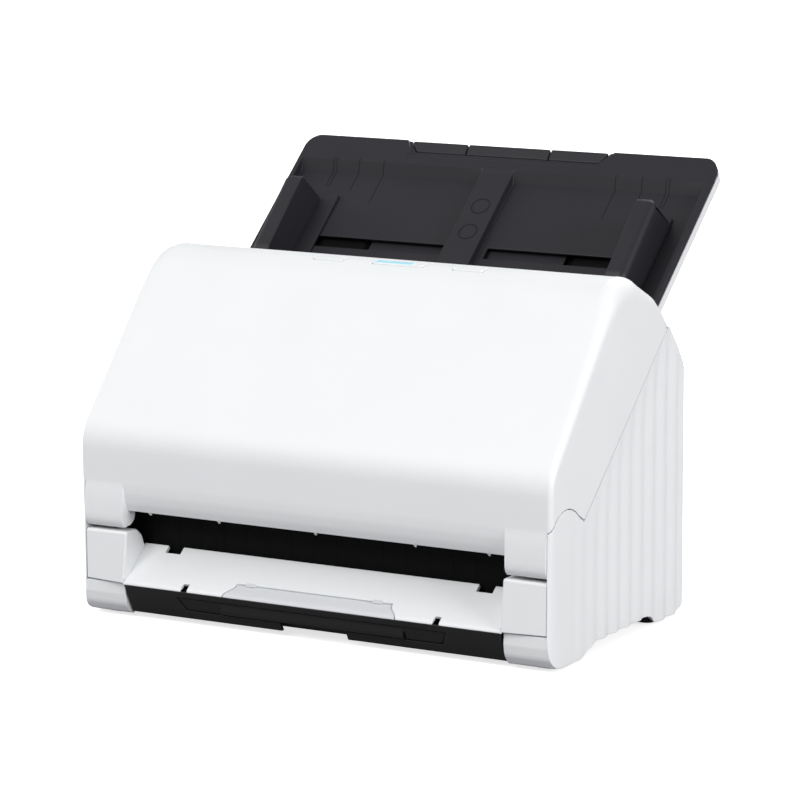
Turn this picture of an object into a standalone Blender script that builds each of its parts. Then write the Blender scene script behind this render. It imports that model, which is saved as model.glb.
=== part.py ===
"""Compact desktop sheet fed document scanner, as an assembly of its real pieces.

Lengths in this file are millimetres and MM turns them into Blender's metres.
Two drawing frames are used, both with x across the machine:
  base   y runs back from the front face, z runs up from the desk
  tray   s runs up the sloping paper path from the tray's top edge (s = 0, so
         points lower down are negative), h stands off the tray's upper face
The assembly's origin is the middle of its footprint, on the desk.
"""
import math

import bmesh
import bpy
from mathutils import Matrix, Vector

MM = 0.001

# ---- driving dimensions ------------------------------------------------------
HALF_WIDTH = 145.5            # half of the whole machine's width
WALL = 2.5                    # moulded casing walls
GAP = 0.3                     # clearance that neighbouring pieces keep
FRONT_LIP = -3.4              # foremost point, the eject tray's lip
PATH_ANGLE = math.radians(40.0)
TRAY_TOP = (228.9, 243.9)     # y, z of the tray's upper face at its top edge
TRAY_HALF = 132.9             # half of the feed tray's width
TRAY_LOW = -128.0             # s of the feed tray's lower end
COVER_PIVOT = (6.4, 58.0)     # y, z of the front cover's hinge
EAR_CENTRE = (17.3, 66.0)     # round hinge ear at the seam's front end
EAR_RADIUS = 18.8
SEAM_LOW = (37.5, 74.8)       # the straight seam between cover and casing
SEAM_HIGH = (138.2, 163.9)
CASING_REAR = 159.8
BULGE_TOP = (-0.4, -13.2)     # s, h of the tray back's rearmost edge

# ---- worked out from them ----------------------------------------------------
REAR_TIP = TRAY_TOP[0] + BULGE_TOP[0] * math.cos(PATH_ANGLE) - BULGE_TOP[1] * math.sin(PATH_ANGLE)
DEPTH_CENTRE = (FRONT_LIP + REAR_TIP) / 2
CASING_INNER = HALF_WIDTH - WALL
FRAME_OUTER = 136.2           # inner side plates that carry the roller shafts
FRAME_INNER = FRAME_OUTER - 2.0
GUIDE_HALF = FRAME_INNER - GAP - 0.1
GUIDE_LOW_FACE = -5.0         # h of the lower paper guide's face
GUIDE_HIGH_FACE = -2.0        # h of the upper paper guide's face
GEAR_SIDE = (-141.5, -137.5)  # x of every gear's two faces
ROLLER_GRIP = 0.5             # how far a drive roller stands out of its guide

BASE = Matrix.Translation((0, -DEPTH_CENTRE * MM, 0))
TRAY = (
    Matrix.Translation((0, (TRAY_TOP[0] - DEPTH_CENTRE) * MM, TRAY_TOP[1] * MM))
    @ Matrix.Rotation(PATH_ANGLE, 4, "X")
)


def path_point(s, h):
    """Base frame y, z of the point s, h of the tray frame."""
    y = TRAY_TOP[0] + s * math.cos(PATH_ANGLE) - h * math.sin(PATH_ANGLE)
    z = TRAY_TOP[1] + s * math.sin(PATH_ANGLE) + h * math.cos(PATH_ANGLE)
    return (y, z)


# ---- scene, collections and materials ----------------------------------------
for old in list(bpy.data.objects):
    bpy.data.objects.remove(old, do_unlink=True)

PARTS = bpy.data.collections.new("document_scanner")
CUTTERS = bpy.data.collections.new("cutters")
for collection in (PARTS, CUTTERS):
    bpy.context.scene.collection.children.link(collection)


def plastic(name, colour, roughness, metallic=0.0):
    """A Principled material with one colour."""
    material = bpy.data.materials.new(name)
    material.use_nodes = True
    shader = material.node_tree.nodes["Principled BSDF"]
    shader.inputs["Base Color"].default_value = (*colour, 1)
    shader.inputs["Roughness"].default_value = roughness
    shader.inputs["Metallic"].default_value = metallic
    material.diffuse_color = (*colour, 1)
    return material


WHITE = plastic("white_casing", (0.86, 0.87, 0.88), 0.45)
BLACK = plastic("black_tray", (0.035, 0.032, 0.038), 0.5)
DARK = plastic("dark_frame", (0.02, 0.02, 0.021), 0.55)
RUBBER = plastic("grey_rubber", (0.06, 0.06, 0.065), 0.8)
STEEL = plastic("steel", (0.6, 0.6, 0.6), 0.3, 1.0)
GEAR_RESIN = plastic("gear_resin", (0.75, 0.73, 0.68), 0.5)
GLASS = plastic("scan_glass", (0.35, 0.42, 0.42), 0.05)
BOARD = plastic("circuit_board", (0.03, 0.16, 0.07), 0.5)
LIGHT = plastic("lit_button", (0.35, 0.75, 0.9), 0.3)


# ---- modelling helpers -------------------------------------------------------
def add_object(name, mesh, frame, material=None):
    """Put a mesh in the scene at its drawing frame; without a material it is a cutter."""
    thing = bpy.data.objects.new(name, mesh)
    thing.matrix_world = frame
    if material:
        mesh.materials.append(material)
        mesh.shade_smooth()
        mesh.set_sharp_from_angle(angle=math.radians(35))
        PARTS.objects.link(thing)
    else:
        CUTTERS.objects.link(thing)
        thing.hide_render = True
        thing.display_type = "WIRE"
    return thing


def block(name, x, y, z, frame=BASE, material=None):
    """A box between the two values given for each of its axes."""
    shape = bmesh.new()
    bmesh.ops.create_cube(shape, size=1.0)
    size = Vector((x[1] - x[0], y[1] - y[0], z[1] - z[0])) * MM
    middle = Vector((x[0] + x[1], y[0] + y[1], z[0] + z[1])) * MM / 2
    bmesh.ops.scale(shape, vec=size, verts=shape.verts)
    bmesh.ops.translate(shape, vec=middle, verts=shape.verts)
    mesh = bpy.data.meshes.new(name)
    shape.to_mesh(mesh)
    shape.free()
    return add_object(name, mesh, frame, material)


def rod(name, radius, x, centre, frame=BASE, material=None, sides=16):
    """A round bar along x, with its axis at the y, z given by centre."""
    shape = bmesh.new()
    bmesh.ops.create_cone(
        shape, cap_ends=True, segments=sides,
        radius1=radius * MM, radius2=radius * MM, depth=(x[1] - x[0]) * MM,
    )
    bmesh.ops.rotate(shape, matrix=Matrix.Rotation(math.pi / 2, 3, "Y"), verts=shape.verts)
    offset = Vector(((x[0] + x[1]) / 2, centre[0], centre[1])) * MM
    bmesh.ops.translate(shape, vec=offset, verts=shape.verts)
    mesh = bpy.data.meshes.new(name)
    shape.to_mesh(mesh)
    shape.free()
    return add_object(name, mesh, frame, material)


def prism(name, outlines, low, high, along="X", frame=BASE, material=None):
    """A flat outline, with its holes after it, given thickness from low to high.

    Along X the outline is drawn in y and z (or s and h); along Z it is drawn in
    x and y (or x and s).
    """
    drawing = bpy.data.curves.new(name, "CURVE")
    drawing.dimensions = "2D"
    drawing.fill_mode = "BOTH"
    drawing.extrude = (high - low) / 2 * MM
    for outline in outlines:
        spline = drawing.splines.new("POLY")
        spline.points.add(len(outline) - 1)
        for point, (u, v) in zip(spline.points, outline):
            point.co = (u * MM, v * MM, 0, 1)
        spline.use_cyclic_u = True
    sketch = bpy.data.objects.new(name + "_sketch", drawing)
    CUTTERS.objects.link(sketch)
    bpy.context.view_layer.update()
    solid = sketch.evaluated_get(bpy.context.evaluated_depsgraph_get())
    mesh = bpy.data.meshes.new_from_object(solid)
    mesh.name = name
    bpy.data.objects.remove(sketch)
    shape = bmesh.new()
    shape.from_mesh(mesh)
    bmesh.ops.remove_doubles(shape, verts=shape.verts, dist=0.00001)
    bmesh.ops.dissolve_limit(shape, angle_limit=0.001, verts=shape.verts, edges=shape.edges)
    offset = Matrix.Translation((0, 0, (low + high) / 2 * MM))
    if along == "X":
        turn = Matrix(((0, 0, 1, 0), (1, 0, 0, 0), (0, 1, 0, 0), (0, 0, 0, 1)))
        offset = turn @ offset
    bmesh.ops.transform(shape, matrix=offset, verts=shape.verts)
    bmesh.ops.recalc_face_normals(shape, faces=shape.faces)
    shape.to_mesh(mesh)
    shape.free()
    return add_object(name, mesh, frame, material)


def modify(thing, operation, tools):
    """Cut or join the tool shapes, each with an exact Boolean."""
    for tool in tools:
        boolean = thing.modifiers.new(tool.name, "BOOLEAN")
        boolean.operation = operation
        boolean.solver = "EXACT"
        boolean.object = tool


def cut(thing, *tools):
    modify(thing, "DIFFERENCE", tools)


def join(thing, *tools):
    modify(thing, "UNION", tools)


def bevel(thing, width, segments=2, angle=50):
    """Round every edge that is sharper than the angle."""
    rounding = thing.modifiers.new("rounded_edges", "BEVEL")
    rounding.width = width * MM
    rounding.segments = segments
    rounding.limit_method = "ANGLE"
    rounding.angle_limit = math.radians(angle)


def arc(centre, radius, start, end, steps):
    """Points of a circular arc, angles in degrees from the first axis."""
    points = []
    for step in range(steps + 1):
        angle = math.radians(start + (end - start) * step / steps)
        points.append((centre[0] + radius * math.cos(angle), centre[1] + radius * math.sin(angle)))
    return points


def circle(centre, radius, sides=16):
    return arc(centre, radius, 0, 360 - 360 / sides, sides - 1)


def parallel(line, distance):
    """The line's parallel at the distance, on its right-hand side."""
    points = []
    for index, (u, v) in enumerate(line):
        normals = []
        for first, second in ((index - 1, index), (index, index + 1)):
            if first < 0 or second >= len(line):
                continue
            du = line[second][0] - line[first][0]
            dv = line[second][1] - line[first][1]
            length = math.hypot(du, dv)
            normals.append(Vector((dv / length, -du / length)))
        middle = sum(normals, Vector((0, 0))).normalized()
        shift = distance / middle.dot(normals[0])
        points.append((u + middle.x * shift, v + middle.y * shift))
    return points


def ribbon(line, thickness):
    """Closed outline of a bent sheet: the line and its parallel on the right."""
    return list(line) + parallel(line, thickness)[::-1]


def round_plate(half, low, high, radius):
    """Plan outline in x, s with its two top corners rounded."""
    right = arc((half - radius, high - radius), radius, 0, 90, 5)
    left = arc((radius - half, high - radius), radius, 90, 180, 5)
    return [(half, low)] + right + left + [(-half, low)]


def joint_frame(name, x, y, z):
    """An empty on a joint's axis, which carries the pieces that move with it."""
    empty = bpy.data.objects.new(name, None)
    empty.location = Vector((x, y - DEPTH_CENTRE, z)) * MM
    empty.empty_display_size = 0.01
    PARTS.objects.link(empty)
    return empty


def carry(empty, *things, parent=None):
    """Fix the pieces, and the tools that shape them, to the joint's empty."""
    home = Matrix.Translation(empty.location)
    for thing in things:
        tools = [m.object for m in thing.modifiers if m.type == "BOOLEAN"]
        for piece in [thing] + tools:
            piece.parent = empty
            piece.matrix_parent_inverse = home.inverted()
    if parent:
        empty.parent = parent
        empty.matrix_parent_inverse = Matrix.Translation(parent.location).inverted()


# ---- casings -----------------------------------------------------------------
def ear_arc(radius, steps=7):
    """The hinge ear's round top, from its front to its back."""
    return arc(EAR_CENTRE, radius, 150.7, 45.8, steps)


def casing_outline():
    """Side view of a side casing, from its front foot round to the front again."""
    front = [(1.0, 8.0), (0.0, 14.0), (0.4, 74.6)]
    rear = [SEAM_LOW, SEAM_HIGH, (149.2, 151.3), (157.9, 138.9), (CASING_REAR, 134.9)]
    underside = [
        (CASING_REAR, 10.0), (158.2, 5.6), (150.9, 1.6), (128.0, 1.6), (117.0, 7.2),
        (50.0, 7.2), (40.0, 1.6), (14.0, 1.6), (5.0, 3.0),
    ]
    return front + ear_arc(EAR_RADIUS) + rear + underside


def side_casing(name, side):
    """Side wall with the lower front corner that wraps round beside the base panel."""
    wall_x = sorted((side * CASING_INNER, side * HALF_WIDTH))
    wall = prism(name, [casing_outline()], *wall_x, material=WHITE)
    corner = [(1.0, 8.0), (0.0, 14.0), (0.2, 20.0), (9.0, 20.0), (9.0, 1.9), (5.0, 3.0)]
    corner_x = sorted((side * 117.2, side * (CASING_INNER + 0.5)))
    join(wall, prism(name + "_corner", [corner], *corner_x))
    return wall


def rear_cover():
    """Back wall of the casing, which leans forward above to meet the feed tray."""
    line = [(CASING_REAR, 6.5), (CASING_REAR, 134.9), (157.9, 138.9), (149.2, 151.3), (146.0, 155.0)]
    outline = ribbon(line[::-1], WALL)
    half = CASING_INNER - GAP
    cover = prism("rear_cover", [outline], -half, half, material=WHITE)
    for index, (x, width, z, height) in enumerate(PORTS):
        opening = block(
            f"rear_cover_port_{index}", (x - width / 2 - 0.5, x + width / 2 + 0.5),
            (CASING_REAR - 6, CASING_REAR + 3), (z - height / 2 - 0.5, z + height / 2 + 0.5),
        )
        cut(cover, opening)
    return cover


PORTS = ((82.0, 12.0, 34.0, 11.0), (58.0, 11.0, 34.0, 10.0))  # x, width, z, height
PORT_NAMES = ("power_inlet", "usb_port")


def ports_and_board():
    """Sockets seen through the rear cover, soldered to the main board inside."""
    board_y = (148.0, 149.6)
    block("main_board", (-100, 108), board_y, (22, 112), material=BOARD)
    for name, (x, width, z, height) in zip(PORT_NAMES, PORTS):
        shell = block(
            name, (x - width / 2, x + width / 2), (board_y[1] + GAP, CASING_REAR - 0.6),
            (z - height / 2, z + height / 2), material=DARK,
        )
        hole = block(
            name + "_mouth", (x - width / 2 + 1.5, x + width / 2 - 1.5),
            (CASING_REAR - 7.5, CASING_REAR + 2), (z - height / 2 + 1.5, z + height / 2 - 1.5),
        )
        cut(shell, hole)


def base_and_feet():
    """Bottom pan on four rubber feet, and the black panel under the eject tray."""
    pan = block("base_pan", (-140, 140), (10, 156.5), (3.3, 5.8), material=DARK)
    bevel(pan, 0.8, 1)
    for end, y in (("front", (14, 40)), ("rear", (128, 151))):
        for side, x in (("left", (-140.5, -126.5)), ("right", (126.5, 140.5))):
            foot = block(f"{end}_{side}_foot", x, y, (0, 3.0), material=RUBBER)
            bevel(foot, 1.0, 1)
    face = [(-2.8, 20.0), (2.5, 10.0), (6.0, 3.6), (8.3, 3.6), (4.6, 10.8), (-0.2, 20.0)]
    panel = prism("front_base_panel", [face], -116.4, 116.4, material=DARK)
    cut(
        panel,
        block("drawer_mouth", (-83.8, 83.8), (-5, 12), (8.6, 16.5)),
        block("finger_notch", (-20.5, 20.5), (-5, 12), (0, 9.0)),
    )


FLOOR_BACK = (21.0, 39.2)     # y, z of the eject tray's sloping floor, at its back
FLOOR_FRONT = (-2.4, 21.4)    # and just behind the lip
FLOOR_SLOPE = math.atan2(FLOOR_BACK[1] - FLOOR_FRONT[1], FLOOR_BACK[0] - FLOOR_FRONT[0])
FLOOR = (
    Matrix.Translation((0, (FLOOR_FRONT[0] - DEPTH_CENTRE) * MM, FLOOR_FRONT[1] * MM))
    @ Matrix.Rotation(FLOOR_SLOPE, 4, "X")
)                             # frame with y up the floor from behind the lip, z off it


def eject_tray():
    """White tray under the exit: two corner blocks with a sloping floor between."""
    slab = [FLOOR_BACK, FLOOR_FRONT, (FRONT_LIP, 20.4), (0.8, 20.4), (FLOOR_BACK[0], FLOOR_BACK[1] - 3.0)]
    floor = prism("eject_tray", [slab], -118, 118, material=WHITE)
    block_side = [(0.2, 21.0), (0.2, 47.9), (1.2, 48.9), (10.0, 48.9), (14.5, 46.5), (17.5, 42.5),
                  (19.2, 37.5), (19.2, 21.0)]
    for name, side in (("left", -1), ("right", 1)):
        ends = sorted((side * 116.6, side * (CASING_INNER - GAP)))
        join(floor, prism(f"eject_tray_{name}_block", [block_side], *ends))
    cut(floor, block("stopper_recess", (-53.5, 53.5), (0.7, 9.3), (-1.3, 2.0), FLOOR))
    for side in (-1, 1):
        slot = block(f"tray_slot_{side}", (side * 78.2 - 2, side * 78.2 + 2), (-8, 1.2), (15, 30))
        cut(floor, slot)


def stopper_flap():
    """Strip at the floor's front edge, which swings up to stop the sheets."""
    flap = block("stopper_flap", (-52.9, 52.9), (1.2, 8.8), (-1.0, -0.1), FLOOR, WHITE)
    axis_y = FLOOR_FRONT[0] + 8.8 * math.cos(FLOOR_SLOPE)
    axis_z = FLOOR_FRONT[1] + 8.8 * math.sin(FLOOR_SLOPE)
    carry(joint_frame("stopper_axis", 0, axis_y, axis_z), flap)


# ---- paper path --------------------------------------------------------------
FEED_AXIS = (-152.0, -14.5)           # s, h of each roller's axis
REGISTER_AXIS = (-186.0, -11.5)
EJECT_AXIS = (-262.0, -11.5)
FEED_RADIUS = 10.0
DRIVE_RADIUS = 7.0
PINCH_RADIUS = 6.2
SHAFT_RADIUS = 3.0
PINCH_GAP = 0.3
TYRES = (-96.0, -36.0, 36.0, 96.0)    # x of the tyres on the driven shafts
TYRE_WIDTH = 14.0
FEED_HALF = 20.0                      # half width of the feed and separation rollers
SCAN_WINDOW = (-229.0, -201.0)        # s of the window in both guides
SCAN_HALF = 112.0


def roller_slots(name, s, reach, low, high):
    """Cutters for the tyres of one shaft through a guide sheet."""
    slots = []
    for index, x in enumerate(TYRES):
        width = (x - TYRE_WIDTH / 2 - 1, x + TYRE_WIDTH / 2 + 1)
        slots.append(block(f"{name}_{index}", width, (s - reach, s + reach), (low, high), TRAY))
    return slots


def lower_paper_guide():
    """Black sheet under the paper, from the feed tray down to the exit."""
    line = [path_point(TRAY_LOW - 1, GUIDE_LOW_FACE), path_point(-268, GUIDE_LOW_FACE),
            (24.6, 64.5), (23.5, 59.0), (23.5, 33.0)]
    outline = ribbon(line[::-1], 2.0)
    guide = prism("lower_paper_guide", [outline], -GUIDE_HALF, GUIDE_HALF, material=DARK)
    depth = (GUIDE_LOW_FACE - 4, GUIDE_LOW_FACE + 2)
    cut(
        guide,
        block("scan_window", (-SCAN_HALF - 1, SCAN_HALF + 1), SCAN_WINDOW, depth, TRAY),
        block("feed_window", (-FEED_HALF - 1, FEED_HALF + 1), (-160.5, -143.5), depth, TRAY),
        *roller_slots("register_slot", REGISTER_AXIS[0], 7.0, *depth),
        *roller_slots("eject_slot", EJECT_AXIS[0], 7.0 - 0.8, *depth),
    )


def scan_units():
    """A contact image sensor under its glass, below the path and again above it."""
    window = (SCAN_WINDOW[0] + 1, SCAN_WINDOW[1] - 1)
    x = (-SCAN_HALF, SCAN_HALF)
    block("lower_scan_glass", x, window, (GUIDE_LOW_FACE - 2.2, GUIDE_LOW_FACE - 0.2), TRAY, GLASS)
    block("lower_scan_unit", (-116, 116), (-231, -199), (-21.5, GUIDE_LOW_FACE - 2.5), TRAY, DARK)
    glass = block("upper_scan_glass", x, window, (GUIDE_HIGH_FACE + 0.2, GUIDE_HIGH_FACE + 2.2), TRAY, GLASS)
    unit = block("upper_scan_unit", (-116, 116), (-231, -199), (GUIDE_HIGH_FACE + 2.5, 15.0), TRAY, DARK)
    return [glass, unit]


def turned(name, steps, axis, material, sides=14):
    """A stepped roller along x; steps lists x from, x to and radius, left to right."""
    outer = [(0.0, steps[-1][1])]
    for low, high, radius in reversed(steps):
        outer += [(radius, high), (radius, low)]
    outer.append((0.0, steps[0][0]))
    mesh = bpy.data.meshes.new(name)
    vertices = [(radius * MM, 0, x * MM) for radius, x in outer]
    mesh.from_pydata(vertices, [(i, i + 1) for i in range(len(vertices) - 1)], [])
    y, z = path_point(*axis)
    turn = Matrix.Rotation(math.pi / 2, 4, "Y")
    frame = Matrix.Translation((0, (y - DEPTH_CENTRE) * MM, z * MM)) @ turn
    roller = add_object(name, mesh, frame, material)
    screw = roller.modifiers.new("turn", "SCREW")
    screw.axis = "Z"
    screw.steps = sides
    screw.render_steps = sides
    screw.use_merge_vertices = True
    screw.merge_threshold = 0.00005
    screw.use_smooth_shade = False
    return roller


def tyre_steps(radius, shaft, ends):
    """Shaft and tyre steps from one end to the other."""
    steps = []
    position = ends[0]
    for x in TYRES:
        steps.append((position, x - TYRE_WIDTH / 2, shaft))
        steps.append((x - TYRE_WIDTH / 2, x + TYRE_WIDTH / 2, radius))
        position = x + TYRE_WIDTH / 2
    steps.append((position, ends[1], shaft))
    return steps


def spinning(name, axis, *pieces, parent=None):
    """Put the pieces that turn together on an empty on their axis."""
    y, z = path_point(*axis)
    carry(joint_frame(name, 0, y, z), *pieces, parent=parent)


# ---- gear train --------------------------------------------------------------
MODULE = 1.0
ROLLER_TEETH = 14
IDLER_TEETH = 24
PINION_TEETH = 10


def pitch_radius(teeth):
    return MODULE * teeth / 2


def meshing_centre(first, second, first_radius, second_radius):
    """The point below a pair of centres that is at the given distance from each."""
    a = Vector(first)
    b = Vector(second)
    span = (b - a).length
    along = (first_radius ** 2 - second_radius ** 2 + span ** 2) / (2 * span)
    across = math.sqrt(first_radius ** 2 - along ** 2)
    direction = (b - a) / span
    point = a + direction * along + Vector((-direction.y, direction.x)) * across
    return (point.x, point.y)


def gear_outline(teeth, phase):
    """Straight-sided teeth, a little thin so that a pair runs freely."""
    pitch = 2 * math.pi / teeth
    root = pitch_radius(teeth) - 1.15 * MODULE
    tip = pitch_radius(teeth) + 0.85 * MODULE
    points = []
    for tooth in range(teeth):
        middle = phase + tooth * pitch
        for radius, share in ((root, -0.31), (tip, -0.12), (tip, 0.12), (root, 0.31)):
            angle = middle + share * pitch
            points.append((radius * math.cos(angle), radius * math.sin(angle)))
    return points


def meshed_phase(centre, phase, teeth, other_centre, other_teeth):
    """Phase of the other gear that puts its gap on this gear's tooth."""
    pitch = 2 * math.pi / teeth
    other_pitch = 2 * math.pi / other_teeth
    towards = math.atan2(other_centre[1] - centre[1], other_centre[0] - centre[0])
    return towards + math.pi - (phase - towards) / pitch * other_pitch + other_pitch / 2


def gear(name, axis, teeth, phase, bore, material=GEAR_RESIN):
    """A spur gear round its axis, in the tray frame."""
    rim = [(axis[0] + u, axis[1] + v) for u, v in gear_outline(teeth, phase)]
    hole = circle(axis, bore, 12)
    return prism(name, [rim, hole], *GEAR_SIDE, frame=TRAY, material=material)


IDLER_REACH = pitch_radius(ROLLER_TEETH) + pitch_radius(IDLER_TEETH)
IDLER_PAIR = 2 * pitch_radius(IDLER_TEETH)
FEED_IDLER = meshing_centre(FEED_AXIS, REGISTER_AXIS, IDLER_REACH, IDLER_REACH)
CENTRE_IDLER = (-224.0, -27.0)
FRONT_IDLER = meshing_centre(REGISTER_AXIS, CENTRE_IDLER, IDLER_REACH, IDLER_PAIR)
EJECT_IDLER = meshing_centre(CENTRE_IDLER, EJECT_AXIS, IDLER_PAIR, IDLER_REACH)
PINION_AXIS = (CENTRE_IDLER[0], CENTRE_IDLER[1] - pitch_radius(IDLER_TEETH) - pitch_radius(PINION_TEETH))
STUD_RADIUS = 2.2
STUDS = (FEED_IDLER, FRONT_IDLER, CENTRE_IDLER, EJECT_IDLER)


def gear_train():
    """Three roller gears joined by four idlers, driven by the motor's pinion."""
    chain = (
        ("feed_gear", FEED_AXIS, ROLLER_TEETH, SHAFT_RADIUS + GAP),
        ("feed_idler_gear", FEED_IDLER, IDLER_TEETH, STUD_RADIUS + GAP),
        ("register_gear", REGISTER_AXIS, ROLLER_TEETH, SHAFT_RADIUS + GAP),
        ("register_idler_gear", FRONT_IDLER, IDLER_TEETH, STUD_RADIUS + GAP),
        ("centre_idler_gear", CENTRE_IDLER, IDLER_TEETH, STUD_RADIUS + GAP),
        ("eject_idler_gear", EJECT_IDLER, IDLER_TEETH, STUD_RADIUS + GAP),
        ("eject_gear", EJECT_AXIS, ROLLER_TEETH, SHAFT_RADIUS + GAP),
    )
    gears = {}
    phase = 0.0
    previous = None
    centre_phase = 0.0
    for name, axis, teeth, bore in chain:
        if previous:
            phase = meshed_phase(previous[0], phase, previous[1], axis, teeth)
        gears[name] = gear(name, axis, teeth, phase, bore)
        if name == "centre_idler_gear":
            centre_phase = phase
        previous = (axis, teeth)
    pinion_phase = meshed_phase(CENTRE_IDLER, centre_phase, IDLER_TEETH, PINION_AXIS, PINION_TEETH)
    pinion = gear("motor_pinion", PINION_AXIS, PINION_TEETH, pinion_phase, 1.3, STEEL)
    for name, axis in (("feed_idler", FEED_IDLER), ("register_idler", FRONT_IDLER),
                       ("centre_idler", CENTRE_IDLER), ("eject_idler", EJECT_IDLER)):
        spinning(name + "_axis", axis, gears[name + "_gear"])
    spinning("motor_pinion_axis", PINION_AXIS, pinion)
    return gears


def driven_rollers(gears):
    """The three shafts in the base that move the paper, each with its gear."""
    ends = (-142.2, 138.5)
    feed = turned(
        "feed_roller",
        [(ends[0], -FEED_HALF, SHAFT_RADIUS), (-FEED_HALF, FEED_HALF, FEED_RADIUS), (FEED_HALF, ends[1], SHAFT_RADIUS)],
        FEED_AXIS, RUBBER,
    )
    spinning("feed_roller_axis", FEED_AXIS, feed, gears["feed_gear"])
    for name, axis in (("register", REGISTER_AXIS), ("eject", EJECT_AXIS)):
        roller = turned(f"{name}_drive_roller", tyre_steps(DRIVE_RADIUS, SHAFT_RADIUS, ends), axis, RUBBER)
        spinning(f"{name}_drive_axis", axis, roller, gears[f"{name}_gear"])


def drive_motor():
    """Stepper motor behind the left side plate, its shaft through the plate."""
    centre = path_point(*PINION_AXIS)
    motor = rod("drive_motor", 16.0, (-133.6, -108.0), centre, material=STEEL, sides=20)
    shaft = rod("drive_motor_shaft", 1.0, (-142.0, -133.0), centre, sides=8)
    join(motor, shaft)


def side_plates():
    """Inner frame plates that carry the shafts; the left one also has the idler studs."""
    outline = [(25.5, 20.0), (25.5, 62.0), path_point(-264, -6), path_point(-135, -6),
               (145.0, 138.0), (145.0, 20.0)]
    shafts = [circle(path_point(*axis), SHAFT_RADIUS + GAP, 12) for axis in (FEED_AXIS, REGISTER_AXIS)]
    shafts.append(circle(path_point(*EJECT_AXIS), SHAFT_RADIUS + GAP, 12))
    left_holes = shafts + [circle(path_point(*PINION_AXIS), 3.0, 12)]
    left = prism("left_side_plate", [outline] + left_holes, -FRAME_OUTER, -FRAME_INNER, material=STEEL)
    for index, axis in enumerate(STUDS):
        stud = rod(f"idler_stud_{index}", STUD_RADIUS, (-142.2, -FRAME_OUTER + 1), path_point(*axis), sides=12)
        join(left, stud)
    prism("right_side_plate", [outline] + shafts, FRAME_INNER, FRAME_OUTER, material=STEEL)


# ---- front cover -------------------------------------------------------------
def cover_front_line():
    """Side view of the cover's outer face, from its lower front edge to the cheek's end."""
    lower = [(0.4, 75.2), (0.0, 84.0), (0.2, 94.0)]
    knee = [(2.2, 103.0), (6.4, 111.2)]
    slope = [(70.5, 187.6), (74.0, 191.2), (78.0, 193.8), (83.0, 195.3), (94.5, 196.0)]
    cheek = [(101.5, 194.2), (107.2, 191.0), (120.7, 182.4), (129.8, 173.9), (137.4, 164.6)]
    return lower + knee + slope + cheek


def front_cover():
    """White shell: sloping face, top strip, cheeks, and two posts down to the hinge pins."""
    line = cover_front_line()
    edge = ear_arc(EAR_RADIUS + 0.5)[::-1]
    seam = [(SEAM_HIGH[0] - 0.8, SEAM_HIGH[1] - 0.1), (SEAM_LOW[0] - 0.2, SEAM_LOW[1] + 0.55)]
    shell = prism("front_cover", [line + seam + edge], -HALF_WIDTH, HALF_WIDTH, material=WHITE)
    bevel(shell, 2.2, 2, angle=62)
    hollow = parallel(line[:12], WALL) + [(150.0, 150.0), (60.0, 60.0), (WALL, 60.0)]
    inner_half = CASING_INNER
    cut(
        shell,
        prism("cover_hollow", [hollow], -inner_half, inner_half),
        block("cover_throat", (-134, 134), (94.5, 170), (70, 210)),
        *button_pockets(),
    )
    lip = ribbon([(4.8, 60.2), (2.4, 64.5), (0.9, 70.0), (0.5, 78.0)], WALL)
    post = [(1.2, 77.0), (-0.5, 70.0), (-0.7, 60.0), (-0.7, 54.0), (0.4, 51.9), (2.0, 51.0), (8.0, 51.0),
            (12.0, 53.5), (13.2, 57.0), (12.0, 61.5), (10.0, 66.0), (10.0, 77.0)]
    join(shell, prism("cover_lip", [lip], -119.5, 119.5))
    for name, side in (("left", -1), ("right", 1)):
        ends = sorted((side * 118.4, side * (CASING_INNER - GAP)))
        join(shell, prism(f"{name}_post", [post], *ends))
    for name, side in (("left", -1), ("right", 1)):
        ends = sorted((side * 125.0, side * 150.0))
        cut(shell, rod(f"{name}_pin_bore", 2.4, ends, COVER_PIVOT, sides=12))
    return shell


BUTTONS = (                   # name, x from, x to, material
    ("power_button", -44.0, -26.0, WHITE),
    ("start_button", -7.0, 24.0, LIGHT),
    ("stop_button", 43.0, 61.0, WHITE),
)
BUTTON_Y = (81.5, 88.5)
STRIP_TOP = 195.6


def button_pockets():
    pockets = []
    for name, low, high, _ in BUTTONS:
        x = (low - 0.4, high + 0.4)
        pockets.append(block(name + "_pocket", x, (BUTTON_Y[0] - 0.4, BUTTON_Y[1] + 0.4), (185, 200)))
    return pockets


def buttons(cover_axis):
    """Push buttons in the cover's top strip, each on its own slide."""
    for name, low, high, material in BUTTONS:
        button = block(name, (low, high), BUTTON_Y, (189.5, STRIP_TOP - 0.2), material=material)
        bevel(button, 0.5, 1)
        slide = joint_frame(name + "_slide", (low + high) / 2, 85.0, STRIP_TOP - 0.2)
        carry(slide, button, parent=cover_axis)


def hinge_pins():
    """Steel pins in the side casings that the cover's posts turn on."""
    for name, side in (("left", -1), ("right", 1)):
        ends = sorted((side * 126.0, side * (CASING_INNER - GAP)))
        rod(f"{name}_hinge_pin", 2.1, ends, COVER_PIVOT, material=STEEL, sides=12)


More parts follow.
